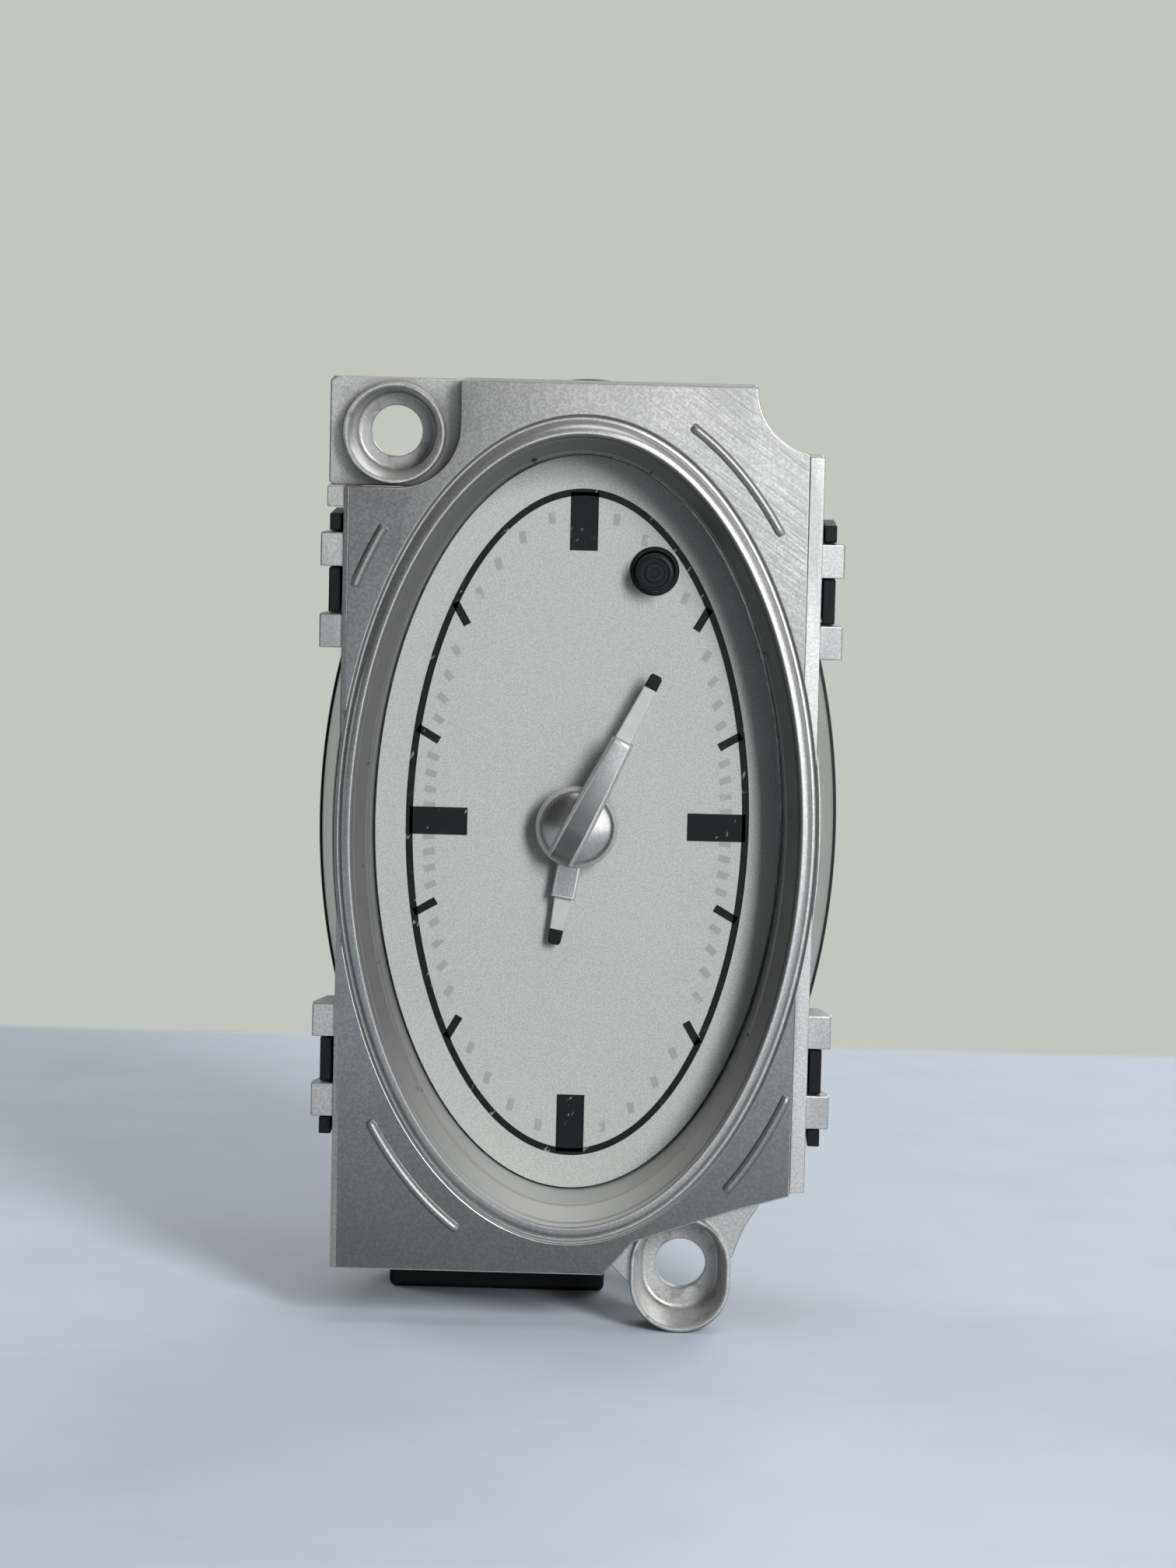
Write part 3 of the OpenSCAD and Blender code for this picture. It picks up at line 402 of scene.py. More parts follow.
def combined(tree, operation, first, second):
    return wired(tree, "Math", operation, "Value", first, second)


def vectors(tree, operation, first, second, result="Value"):
    return wired(tree, "VectorMath", operation, result, first, second)


def ranged(tree, value, low, high, out_low=0.0, out_high=1.0):
    """Maps a value from one range to another, and holds it there."""
    mapped = new_node(tree, "MapRange", From_Min=low, From_Max=high, To_Min=out_low, To_Max=out_high)
    tree.links.new(value, mapped.inputs["Value"])
    return mapped.outputs["Result"]


def seen_rays(tree, *names):
    """One for rays of the named kinds, and nought for the others."""
    path = new_node(tree, "LightPath")
    seen = path.outputs[names[0]]
    for name in names[1:]:
        seen = combined(tree, "MAXIMUM", seen, path.outputs[name])
    return seen


def mixed(tree, share, first, second, output):
    """Sends a mix of two shaders to the tree's output."""
    mix = new_node(tree, "MixShader")
    for start, end in ((share, "Fac"), (first, 1), (second, 2)):
        tree.links.new(start, mix.inputs[end])
    tree.links.new(mix.outputs["Shader"], tree.nodes[output].inputs["Surface"])


class Paint:
    """A principled material that is built up step by step from noise in the clock's own coordinates."""

    def __init__(self, name, color, roughness, metallic=0.0, **sockets):
        self.material = bpy.data.materials.new(name)
        self.material.use_nodes = True
        self.tree = self.material.node_tree
        self.shader = self.tree.nodes["Principled BSDF"]
        set_inputs(self.shader, Base_Color=(*color, 1), Roughness=roughness, Metallic=metallic, **sockets)
        texture = new_node(self.tree, "TexCoord")
        self.coordinates = texture.outputs["Object"]
        self.facing = texture.outputs["Normal"]
        self.color = None
        self.normal = None

    def link(self, start, end):
        self.tree.links.new(start, end)

    def noise(self, scale, detail, stretch=(1, 1, 1), turn=0.0):
        """Noise with so many lumps to a metre, stretched along the axes after a turn about the depth."""
        shares = [1 / share for share in stretch]
        mapping = new_node(self.tree, "Mapping", Scale=shares, Rotation=(0, turn, 0))
        mapping.vector_type = "TEXTURE"
        texture = new_node(self.tree, "TexNoise", Scale=scale, Detail=detail)
        self.link(self.coordinates, mapping.inputs["Vector"])
        self.link(mapping.outputs["Vector"], texture.inputs["Vector"])
        return texture.outputs["Fac"]

    def ramp(self, value, *ends):
        return ranged(self.tree, value, *ends)

    def times(self, first, second):
        return combined(self.tree, "MULTIPLY", first, second)

    def distance(self, point):
        """How far the point lies from a place, in metres."""
        return vectors(self.tree, "DISTANCE", self.coordinates, point)

    def inward(self, middle):
        """How far a face looks towards the axis through a place, along the depth: the cosine times metres."""
        apart = vectors(self.tree, "SUBTRACT", middle, self.coordinates, "Vector")
        across = vectors(self.tree, "MULTIPLY", apart, (1, 0, 1), "Vector")
        return vectors(self.tree, "DOT_PRODUCT", across, self.facing)

    def hollow(self, reach):
        """How open a point lies: small in corners and beside walls within reach, in metres."""
        open_share = new_node(self.tree, "AmbientOcclusion", Distance=reach)
        open_share.samples = 8
        return open_share.outputs["AO"]

    def axis(self, name, of=None):
        """One coordinate of the point in metres, or of another vector."""
        split = new_node(self.tree, "SeparateXYZ")
        self.link(of or self.coordinates, split.inputs["Vector"])
        return split.outputs[name]

    def tint(self, factor, color):
        """Mixes a colour over the base colour by a factor."""
        mix = new_node(self.tree, "Mix")
        mix.data_type = "RGBA"
        mix.inputs["A"].default_value = self.shader.inputs["Base Color"].default_value
        if self.color is not None:
            self.link(self.color, mix.inputs["A"])
        mix.inputs["B"].default_value = (*color, 1)
        self.link(factor, mix.inputs["Factor"])
        self.color = mix.outputs["Result"]
        self.link(self.color, self.shader.inputs["Base Color"])

    def mottle(self, value, low, high, share, color):
        """Mixes a colour in by up to a share, as a value goes from low to high."""
        self.tint(self.ramp(value, low, high, 0, share), color)

    def rough(self, value, low, high):
        """Lets the roughness follow a value."""
        self.link(self.ramp(value, 0.3, 0.7, low, high), self.shader.inputs["Roughness"])

    def bump(self, height, depth_mm, strength):
        """Adds relief of a depth in millimetres."""
        node = new_node(self.tree, "Bump", Strength=strength, Distance=depth_mm * MM)
        self.link(height, node.inputs["Height"])
        if self.normal is not None:
            self.link(self.normal, node.inputs["Normal"])
        self.normal = node.outputs["Normal"]
        self.link(self.normal, self.shader.inputs["Normal"])


RUBBED_X = (0.002, 0.016)
RUBBED_Z = (0.07, 0.085)
# Heights between which the flats are painted darker towards the bottom: painted shade.
LOW_SHADE_Z = (0.032, 0.008)
# Reach of the painted shade in corners and beside walls.
CORNER_SHADE_REACH = 0.004
SPECK = (0.03, 0.03, 0.025)
STAIN = (0.12, 0.115, 0.1)
# Pale colour painted on faces that look up: painted light from above.
TOP_LIGHT_TINT = (0.6, 0.61, 0.59)


def silver_paint(name, tone=0.42, satin=0.33, metallic=0.72, wear=()):
    """Grained silver paint on a moulding, with tool lines, rubbed streaks and stains where they belong;
    painted shade in corners, on the well's inner walls and towards the bottom, and painted light on faces
    that look up.
    """

    def grey(share):
        return (tone * share, tone * share * 1.01, tone * share * 0.99)

    paint = Paint(name, grey(0.9), satin, metallic)
    grain = paint.noise(3600, 3)
    cloud = paint.noise(140, 3)
    paint.mottle(grain, 0.42, 0.62, 0.6, grey(1.33))
    paint.mottle(cloud, 0.5, 0.75, 0.35, grey(0.7))
    paint.rough(cloud, satin - 0.02, satin + 0.025)
    paint.bump(grain, 0.02 * satin, 0.5)
    if "striated" in wear:
        lines = paint.noise(1, 2, (120, 5200, 40))
        paint.tint(paint.ramp(lines, 0.35, 0.5, 0.5, 0), grey(0.45))
        paint.bump(lines, 0.03, 0.6)
    if "streaked" in wear:
        streaks = paint.noise(1, 3, (150, 900, 2800), radians(35))
        right = paint.ramp(paint.axis("X"), *RUBBED_X)
        corner = paint.times(right, paint.ramp(paint.axis("Z"), *RUBBED_Z))
        paint.tint(paint.times(paint.ramp(streaks, 0.48, 0.6, 0, 0.5), corner), grey(0.75))
        paint.bump(paint.times(streaks, corner), 0.02, 0.6)
        # The flats are painted darker towards the bottom: painted shade.
        paint.mottle(paint.axis("Z"), *LOW_SHADE_Z, 0.5, grey(0.33))
    if "well" in wear:
        # Walls of the well that face the oval's axis are less glossy and painted darker: painted shade in the
        # recess.
        inside = paint.ramp(paint.inward((0, 0, ARBOR_Z * MM)), 0.003, 0.009)
        paint.tint(inside, grey(0.33))
        paint.link(paint.ramp(inside, 0, 1, metallic, 0.1), paint.shader.inputs["Metallic"])
        paint.link(paint.ramp(inside, 0, 1, 0.5, 0.1), paint.shader.inputs["Specular IOR Level"])
        specks = paint.ramp(paint.noise(900, 1), 0.7, 0.74)
        ledge_y = (FACE_Y + LEDGE) * MM
        above = paint.ramp(paint.axis("Y"), ledge_y - 0.0009, ledge_y - 0.0003)
        below = paint.ramp(paint.axis("Y"), ledge_y + 0.0009, ledge_y + 0.0001)
        paint.tint(paint.times(specks, paint.times(above, below)), SPECK)
    if "grimy" in wear:
        # Painted shade: corners and spots beside walls are darkened by ambient occlusion. The stains after it
        # are real dirt.
        paint.tint(paint.ramp(paint.hollow(CORNER_SHADE_REACH), 0.35, 0.8, 0.8, 0), grey(0.22))
        paint.mottle(paint.noise(420, 4), 0.56, 0.66, 0.5, STAIN)
    if "lit_from_above" in wear:
        # Faces that look up are painted paler and less metallic: painted light from above.
        lying = paint.ramp(paint.axis("Z", paint.facing), 0.25, 0.9, 0, 0.8)
        paint.tint(lying, TOP_LIGHT_TINT)
        if "well" not in wear:
            paint.link(paint.ramp(lying, 0, 1, metallic, 0.1), paint.shader.inputs["Metallic"])
    return paint.material


def dial_paint():
    """Pale silver dial paint with a fine even grain."""
    paint = Paint("dial_paint", (0.43, 0.449, 0.434), 0.52, Specular_IOR_Level=0.2)
    grain = paint.noise(5200, 2)
    paint.mottle(grain, 0.42, 0.58, 0.8, (0.55, 0.572, 0.556))
    paint.mottle(paint.noise(2600, 1), 0.66, 0.72, 0.3, (0.36, 0.37, 0.36))
    paint.rough(paint.noise(180, 2), 0.46, 0.56)
    paint.bump(grain, 0.006, 0.5)
    return paint.material


def print_ink(name, color):
    """Ink printed on the dial, with slightly uneven cover and a few scuffs."""
    ink = Paint(name, color, 0.42, Specular_IOR_Level=0.12)
    ink.mottle(ink.noise(900, 3), 0.62, 0.78, 0.5, tuple(c * 2.2 + 0.02 for c in color))
    ink.mottle(ink.noise(1, 2, (1300, 900, 600), 0.5), 0.68, 0.71, 0.6, (0.32, 0.34, 0.33))
    ink.rough(ink.noise(1500, 2), 0.36, 0.5)
    ink.bump(ink.noise(5000, 2), 0.004, 0.5)
    return ink.material


def black_plastic(name, gloss=0.42, spark=3000):
    """Black moulding with a fine spark-eroded texture and faint handling marks."""
    plastic = Paint(name, (0.008, 0.01, 0.011), gloss, Specular_IOR_Level=0.12)
    texture = plastic.noise(spark, 3)
    marks = plastic.noise(90, 3)
    plastic.mottle(marks, 0.55, 0.8, 0.5, (0.03, 0.03, 0.032))
    plastic.rough(marks, gloss - 0.06, gloss + 0.1)
    plastic.bump(texture, 0.02, 0.6)
    return plastic.material


def hand_silver(name, tone, satin, metallic=0.95, shaded_near_hub=False):
    """Satin metallised plastic of the hands, which can be painted darker near the arbor as painted shade."""
    metal = Paint(name, (tone, tone * 1.01, tone * 0.99), satin, metallic)
    grain = metal.noise(3800, 2)
    metal.mottle(grain, 0.45, 0.65, 0.5, (tone * 1.35, tone * 1.35, tone * 1.33))
    metal.rough(metal.noise(500, 3), satin - 0.03, satin + 0.04)
    metal.bump(grain, 0.005, 0.5)
    if shaded_near_hub:
        # Painted shade: the bar is darkened towards the hub.
        near = metal.ramp(metal.distance(row(0, HUB_TOP, 0)), 0.0015, 0.0085, 0.8, 0)
        metal.tint(near, (0.09, 0.092, 0.09))
    return metal.material


def pale_pointer():
    """Pale translucent plastic of the pointers."""
    pale = Paint("pointer_pale", (0.5, 0.525, 0.505), 0.3, Subsurface_Weight=0.15)
    set_inputs(pale.shader, Subsurface_Radius=(0.0006, 0.0006, 0.0005))
    pale.mottle(pale.noise(700, 2), 0.45, 0.7, 0.4, (0.58, 0.6, 0.58))
    pale.rough(pale.noise(900, 2), 0.26, 0.36)
    pale.bump(pale.noise(2500, 2), 0.004, 0.5)
    return pale.material


def moulded(name, color, roughness):
    """Plain coloured plastic with a slight flow pattern."""
    plastic = Paint(name, color, roughness)
    plastic.mottle(plastic.noise(220, 4), 0.4, 0.75, 0.35, tuple(0.78 * c for c in color))
    plastic.rough(plastic.noise(400, 3), roughness - 0.06, roughness + 0.08)
    plastic.bump(plastic.noise(2600, 2), 0.008, 0.5)
    return plastic.material


def bare_metal(name, color, roughness, lines=(1, 1, 1)):
    """Bare metal with fine working lines along one direction."""
    metal = Paint(name, color, roughness, 1.0)
    work = metal.noise(2400, 3, lines)
    metal.mottle(metal.noise(260, 3), 0.45, 0.75, 0.4, tuple(0.7 * c for c in color))
    metal.rough(work, roughness - 0.08, roughness + 0.12)
    metal.bump(work, 0.006, 0.5)
    return metal.material


def clear_plastic(name, color, roughness=0.06):
    """Clear moulded plastic or glass."""
    clear = Paint(name, color, roughness, 0.0, Transmission_Weight=0.9, IOR=1.49)
    clear.rough(clear.noise(300, 3), roughness, roughness + 0.12)
    clear.bump(clear.noise(600, 2), 0.006, 0.4)
    return clear.material


def circuit_green():
    """Green solder mask with copper tracks showing faintly through it."""
    board = Paint("board_green", (0.012, 0.075, 0.03), 0.35)
    tracks = board.ramp(board.noise(1, 0, (700, 1, 160)), 0.5, 0.52)
    board.tint(tracks, (0.03, 0.14, 0.055))
    board.rough(board.noise(800, 2), 0.28, 0.42)
    board.bump(tracks, 0.03, 0.6)
    return board.material


SILVER = silver_paint("silver_paint", wear=["lit_from_above"])
SILVER_FLAT = silver_paint("silver_paint_flat", 0.27, 0.19, 1.0, ["streaked"])
SILVER_EAR = silver_paint("silver_paint_ear", 0.42, 0.36, 0.35, ["grimy"])
# The lug cup takes a lighter copy of the ear's paint: painted light.
SILVER_LUG_LIT = silver_paint("silver_paint_lug_lit", 0.5, 0.36, 0.35, ["grimy"])
# The ribs take a darker copy of the frame's paint: painted shade.
SILVER_RIB_SHADED = silver_paint("silver_paint_rib_shaded", 0.22, 0.4, 0.6)
SILVER_RIM = silver_paint("silver_paint_rim", wear=["well", "lit_from_above"])
SILVER_LINES = silver_paint("silver_paint_lines", wear=["striated"])
DIAL_PAINT = dial_paint()
INK = print_ink("dial_ink", (0.006, 0.01, 0.011))
GREY_INK = print_ink("dial_grey_ink", (0.36, 0.375, 0.36))
BLACK = black_plastic("black_housing")
BLACK_BUTTON = black_plastic("black_button", 0.36, 4200)
BLACK_TIP = black_plastic("pointer_tip", 0.5, 5200)
HAND = hand_silver("hand_silver", 0.4, 0.29)
HAND_BAR = hand_silver("hand_bar_silver", 0.33, 0.24, shaded_near_hub=True)
# A lighter, more diffuse copy of the hand silver for sloping edges and the hub's rim: painted highlight.
HAND_EDGE_HIGHLIGHT = hand_silver("hand_edge_highlight_silver", 0.5, 0.36, 0.45)
PALE = pale_pointer()


# Front frame


def flat_slope(u, v, w):
    """The strips along the long sides fall away from the flat front."""
    beyond = max(0, u - FLAT_RIGHT) * 0.06 + max(0, -FLAT_LEFT - u) * 0.5
    return row(u, w + beyond, v)


def side_face(normal):
    """Whether a face is turned away from the front, bevels too."""
    return normal.y > -0.98


def frame_flats():
    """The flat front above and below the oval, and the narrow strips along its sides."""
    right = acos(FLAT_RIGHT / (OVAL_A + GROOVE))
    left = pi - acos(FLAT_LEFT / (OVAL_A + GROOVE))
    end = acos(HALF_W / (OVAL_A + GROOVE))
    upper = oval_arc(GROOVE, left, right, 120)
    upper += [(FLAT_RIGHT, HALF_H - sqrt(NOTCH_R**2 - (HALF_W - FLAT_RIGHT) ** 2))]
    start = 270 - degrees(asin((HALF_W - FLAT_RIGHT) / NOTCH_R))
    upper += arc((HALF_W, HALF_H), NOTCH_R, start, 180, 24)[1:]
    upper += [(POCKET_RIGHT, HALF_H)]
    upper += arc((POCKET_RIGHT - POCKET_ROUND, POCKET_FOOT + POCKET_ROUND), POCKET_ROUND, 0, -90, 24)
    upper += [(-FLAT_LEFT, POCKET_FOOT)]
    lower = oval_arc(GROOVE, -right, -left, 120)
    slope = (CUT_RIGHT - CUT_MIDDLE[1]) / (HALF_W - CUT_MIDDLE[0])
    lower += [(-FLAT_LEFT, -HALF_H), CUT_FOOT, CUT_LEFT, CUT_MIDDLE]
    lower += [(FLAT_RIGHT, CUT_RIGHT - slope * (HALF_W - FLAT_RIGHT))]
    bm = bmesh.new()
    prism(bm, upper, 0, PLATE_T, 0.14)
    prism(bm, lower, 0, PLATE_T, 0.14)
    sides = (SILVER_LINES, side_face)
    piece("frame_flats", bm, SILVER_FLAT, stands_for=["front_frame"], edges=sides)
    bm = bmesh.new()
    for sign in (1, -1):
        strip = oval_arc(GROOVE, sign * end, sign * right, 16)
        top = HALF_H - NOTCH_R if sign > 0 else CUT_RIGHT
        strip += [(FLAT_RIGHT, top + 0.1 * sign), (HALF_W, top)]
        prism(bm, strip, 0.1, PLATE_T, 0.12, flat_slope)
        strip = oval_arc(GROOVE, pi - sign * end, pi - sign * (pi - left), 16)
        top = POCKET_FOOT if sign > 0 else -HALF_H
        strip += [(-FLAT_LEFT, top), (-HALF_W, top)]
        prism(bm, strip, 0.1, PLATE_T, 0.08, flat_slope)
    piece("frame_side_strips", bm, SILVER_LINES)


def frame_rim():
    """The bead, the stepped wall of the well and the flared wall behind, swept round the oval."""
    crest = -0.28
    outward, inward, drop = 0.92, 0.38, 0.65
    bead = []
    for k in range(9):
        angle = pi / 2 * k / 8
        bead.append((crest + outward * cos(angle), -BEAD_H * sin(angle)))
    for k in range(1, 6):
        angle = pi / 2 * k / 5
        bead.append((crest - inward * sin(angle), -BEAD_H + drop * (1 - cos(angle))))
    lip = [(-0.76, -0.5), (-0.86, -0.4)]
    wall = [(STEP + 0.05, 1.42), (STEP - 0.02, 1.52), (STEP - 0.2, 1.58), (STEP - 0.28, 1.72)]
    wall += [(FOOT, WELL_BACK - 0.1)]
    back = [(FOOT + 0.1, WELL_BACK), (FOOT + 1.2, WELL_BACK), (STEP + 1.2, WEB_BACK), (0.0, WEB_BACK)]
    flank = [(FLARE - 1.5, SKIRT), (FLARE - 0.15, SKIRT), (FLARE, SKIRT - 0.2)]
    flank += [(GROOVE + 0.16, 0.3), (GROOVE + 0.04, 0.12)]
    groove = [(GROOVE - 0.05, 0.3), (GROOVE - 0.2, 0.4), (GROOVE - 0.5, 0.4), (GROOVE - 0.62, 0.25)]
    bm = bmesh.new()
    sweep_oval(bm, bead + lip + wall + back + flank + groove)
    piece("frame_rim", bm, SILVER_RIM, sharp=58)


def frame_flank():
    """The striated flank that shows where the oval bulges past the sides of the flat front."""
    profile = [(1.5, 0.28), (1.62, 0.34), (FLARE + 0.04, SKIRT - 0.25), (FLARE - 0.3, SKIRT - 0.25)]
    reach = acos(FLAT_RIGHT / (OVAL_A + GROOVE))
    steps = 64
    bm = bmesh.new()
    for middle in (0, pi):
        angles = [middle - reach + 2 * reach * i / steps for i in range(steps + 1)]
        loft(bm, [oval_section(profile, angle) for angle in angles])
    piece("frame_flank", bm, SILVER_LINES)


def frame_ribs():
    """Four raised half-round ribs that run beside the bead, with rounded ends."""
    sunk = 0.3
    section = [(-RIB_HALF, sunk)]
    for k in range(9):
        angle = pi * k / 8
        section.append((-RIB_HALF * cos(angle), -RIB_H * sin(angle)))
    section.append((RIB_HALF, sunk))
    a, b = OVAL_A + RIB_OUT, OVAL_B + RIB_OUT
    steps = 40
    bm = bmesh.new()
    for start, end in RIB_SPANS:
        rings = []
        for i in range(steps + 1):
            angle = radians(start + (end - start) * i / steps)
            share = 0.72 if i in (0, steps) else 1
            middle = Vector((a * cos(angle), b * sin(angle)))
            out = Vector((b * cos(angle), a * sin(angle))).normalized() * share
            ring = []
            for across, depth in section:
                point = middle + out * across
                ring.append(row(point.x, max(depth, depth * share), point.y))
            rings.append(ring)
        loft(bm, rings)
    piece("frame_ribs", bm, SILVER_RIB_SHADED)


def frame_skirt():
    """The walls that run back from the edges of the flat front."""
    wide = HALF_W - APART
    high = HALF_H - APART
    start = PLATE_T - 0.3
    bm = bmesh.new()
    box(bm, -wide, SKIRT_WALL - wide, start, SKIRT, -high, POCKET_FOOT)
    box(bm, wide - SKIRT_WALL, wide, start, SKIRT, CUT_RIGHT + APART, HALF_H - NOTCH_R - APART)
    box(bm, POCKET_RIGHT + APART, HALF_W - NOTCH_R - APART, start, SKIRT, high - SKIRT_WALL, high)
    box(bm, 0.3 - wide, CUT_FOOT[0] - APART, start + 0.1, SKIRT - 0.1, -high - 0.01, SKIRT_WALL - high)
    piece("frame_skirt", bm, SILVER_LINES)


def cup(bm, centre, stretch, front):
    """A screw cup: rounded rim, sloping bore, flat seat and a clearance hole."""
    back = SEAT_DEPTH + SEAT_T
    rim = [(0, 0.35), (0.06, 0.16), (0.2, 0.03), (0.36, 0.03), (0.5, 0.16), (0.62, 0.5)]
    bore = [(1.25, 0.8, 0.25), (1.4, 0.75, 0.06), (1.65, 0.65, 0)]
    profile = [(CUP_R, stretch, back)]
    profile += [(CUP_R - by, stretch, front + depth) for by, depth in rim]
    profile += [(CUP_R - by, stretch * share, SEAT_DEPTH - rise) for by, share, rise in bore]
    profile += [(HOLE_R + 0.12, 0, SEAT_DEPTH), (HOLE_R, 0, SEAT_DEPTH + 0.12), (HOLE_R, 0, back)]
    rings = []
    for radius, drawn, depth in profile:
        rings.append([row(centre[0] + p.x, depth, centre[1] + p.y) for p in stadium(radius, drawn)])
    loft(bm, rings, around=True)


def ray_reach(corners, start, heading):
    """How far a heading runs from a point inside a rectangle to its side."""
    reaches = []
    for axis in (0, 1):
        if abs(heading[axis]) > 1e-6:
            end = corners[2][axis] if heading[axis] > 0 else corners[0][axis]
            reaches.append((end - start[axis]) / heading[axis])
    return min(reaches)


def frame_ear():
    """The upper ear: a recessed floor round a screw cup, and the walls beside it."""
    wall_x = POCKET_RIGHT + EAR_WALL
    back = POCKET_DEPTH + SEAT_T
    corners = rectangle(-EAR_REACH, wall_x, POCKET_FOOT - 0.02, HALF_H)
    inner = []
    outer = []
    for heading in arc((0, 0), 1, 0, 360, 96)[:-1]:
        inner.append(Vector(EAR_HOLE) + heading * (CUP_R - 0.4))
        outer.append(Vector(EAR_HOLE) + heading * ray_reach(corners, EAR_HOLE, heading))
    edge = 0.16
    rings = [ring_at(inner, POCKET_DEPTH), ring_at(inset(outer, edge), POCKET_DEPTH)]
    rings += [ring_at(outer, POCKET_DEPTH + edge), ring_at(outer, back), ring_at(inner, back)]
    bm = bmesh.new()
    loft(bm, rings, around=True)
    piece("frame_ear_floor", bm, SILVER_EAR, edges=(SILVER_LINES, side_face))
    bm = bmesh.new()
    cup(bm, EAR_HOLE, 0, EAR_CUP_FRONT)
    piece("frame_ear_cup", bm, SILVER_EAR)
    bm = bmesh.new()
    box(bm, -EAR_REACH, -HALF_W + 0.4, TAB_FRONT, back, POCKET_FOOT - 2.2, POCKET_FOOT, 0.12)
    box(bm, POCKET_RIGHT + 0.05, wall_x, 1.0, POCKET_DEPTH + 1, EAR_HOLE[1], HALF_H - 0.1, 0.1)
    piece("frame_ear_walls", bm, SILVER)


def frame_lug():
    """The lower lug: a drawn-out screw cup on a web below the flat front."""
    bm = bmesh.new()
    cup(bm, LUG_HOLE, LUG_STRETCH, 0)
    piece("frame_lug_cup", bm, SILVER_LUG_LIT)
    x, z = LUG_HOLE
    web = [(0, -42.2), (4.4, -46.6), (x - CUP_R + 0.2, z - 1.6)]
    web += arc((x, z + LUG_STRETCH / 2), CUP_R - 0.25, 178, 6, 28)
    web += [(18.0, -45.8), (18.6, -44), (19.4, -42.2), (20.5, -40.5)]
    web += [(21.5, -38.4), (19.5, -37)]
    bm = bmesh.new()
    prism(bm, web, 1.0, SEAT_DEPTH, 0.2)
    piece("frame_lug_web", bm, SILVER)


def frame_tabs():
    """The clip tabs on both long sides, with a flat nose that tapers towards the back."""
    x = HALF_W
    profile = [(x - 0.8, TAB_FRONT), (x + TAB_OUT - 0.15, TAB_FRONT), (x + TAB_OUT, TAB_FRONT + 0.15)]
    profile += [(x + TAB_OUT, TAB_FRONT + 1.4), (x + TAB_OUT / 2, TAB_BACK), (x - 0.8, TAB_BACK)]
    bm = bmesh.new()
    for mirror, level in QUARTERS:
        outline = [(mirror * u, v) for u, v in profile]
        for step in (1, -1):
            middle = level * CLIP_Z + step * (TAB_GAP + TAB_H) / 2
            prism(bm, outline, middle - TAB_H / 2, middle + TAB_H / 2, 0.12, row)
    piece("frame_tabs", bm, SILVER_LINES)


frame_flats()
frame_rim()
frame_flank()
frame_ribs()
frame_skirt()
frame_ear()
frame_lug()
frame_tabs()


# Dial plate and print


def dial_disc():
    """The flat dial plate, with openings for the arbors' tube and the button's collar."""
    loops = [oval_arc(DIAL_EDGE, 0, 2 * pi, 240)[:-1]]
    loops.append(arc((0, 0), TUBE_HOLE_R, 0, 360, 48)[:-1])
    loops.append(arc(BUTTON_XZ, COLLAR_HOLE_R, 0, 360, 48)[:-1])
    bm = bmesh.new()
    faces = []
    for depth in (DIAL, DIAL + DIAL_T):
        rings = [[bm.verts.new(point) for point in ring_at(loop, depth)] for loop in loops]
        edges = [bm.edges.new((ring[i - 1], ring[i])) for ring in rings for i in range(len(ring))]
        bmesh.ops.triangle_fill(bm, use_beauty=True, edges=edges)
        faces.append(rings)
    for front, back in zip(*faces):
        for i in range(len(front)):
            bm.faces.new((front[i - 1], front[i], back[i], back[i - 1]))
    piece("dial_disc", bm, DIAL_PAINT, stands_for=["dial"])


def printed(bm, outline, rise=INK_RISE):
    """A printed patch that stands a little off the dial."""
    loft(bm, [ring_at(outline, depth) for depth in (DIAL + INK_SINK, DIAL - rise)])


def ellipse_reach(a, b, angle):
    return 1 / hypot(cos(angle) / a, sin(angle) / b)


def bar_outline(angle, start, length, width):
    """A straight bar along a heading, from a distance to the arbor."""
    along = Vector((cos(angle), sin(angle)))
    across = Vector((-along.y, along.x)) * width / 2
    first = along * start
    last = along * (start + length)
    return [first - across, last - across, last + across, first + across]


def dial_marks():
    """The black ring, four hour blocks and eight hour ticks, and the grey minute bars inside the ring."""
    bm = bmesh.new()
    low, high = DIAL + INK_SINK, DIAL - INK_RISE
    circle = arc((0, 0), 1, 0, 360, 240)[:-1]
    rings = []
    for by, depth in ((0, low), (0, high), (RING_LINE, high), (RING_LINE, low)):
        rings.append([row((RING_A - by) * p.x, depth, (RING_B - by) * p.y) for p in circle])
    loft(bm, rings, around=True)
    line_a = RING_A - RING_LINE / 2
    line_b = RING_B - RING_LINE / 2
    for hour in range(12):
        angle = pi * hour / 6
        reach = ellipse_reach(line_a, line_b, angle)
        quarter = hour % 3 == 0
        length = BLOCK_L if quarter else TICK_L
        printed(bm, bar_outline(angle, reach - length, length, BLOCK_W if quarter else TICK_W))
    piece("dial_print", bm, INK)
    bm = bmesh.new()
    for minute in range(60):
        if minute % 5:
            angle = pi * minute / 30
            reach = ellipse_reach(line_a - MINUTE_GAP, line_b - MINUTE_GAP, angle)
            bar = bar_outline(angle, reach - MINUTE_BAR_L, MINUTE_BAR_L, MINUTE_BAR_W)
            printed(bm, bar, GREY_INK_RISE)
    piece("dial_minute_bars", bm, GREY_INK)


dial_disc()
dial_marks()


# Hands on the dial


def turned(outline, angle):
    """An outline drawn along X from the arbor, turned to its heading."""
    return [Matrix.Rotation(radians(angle), 2) @ Vector(p) for p in outline]


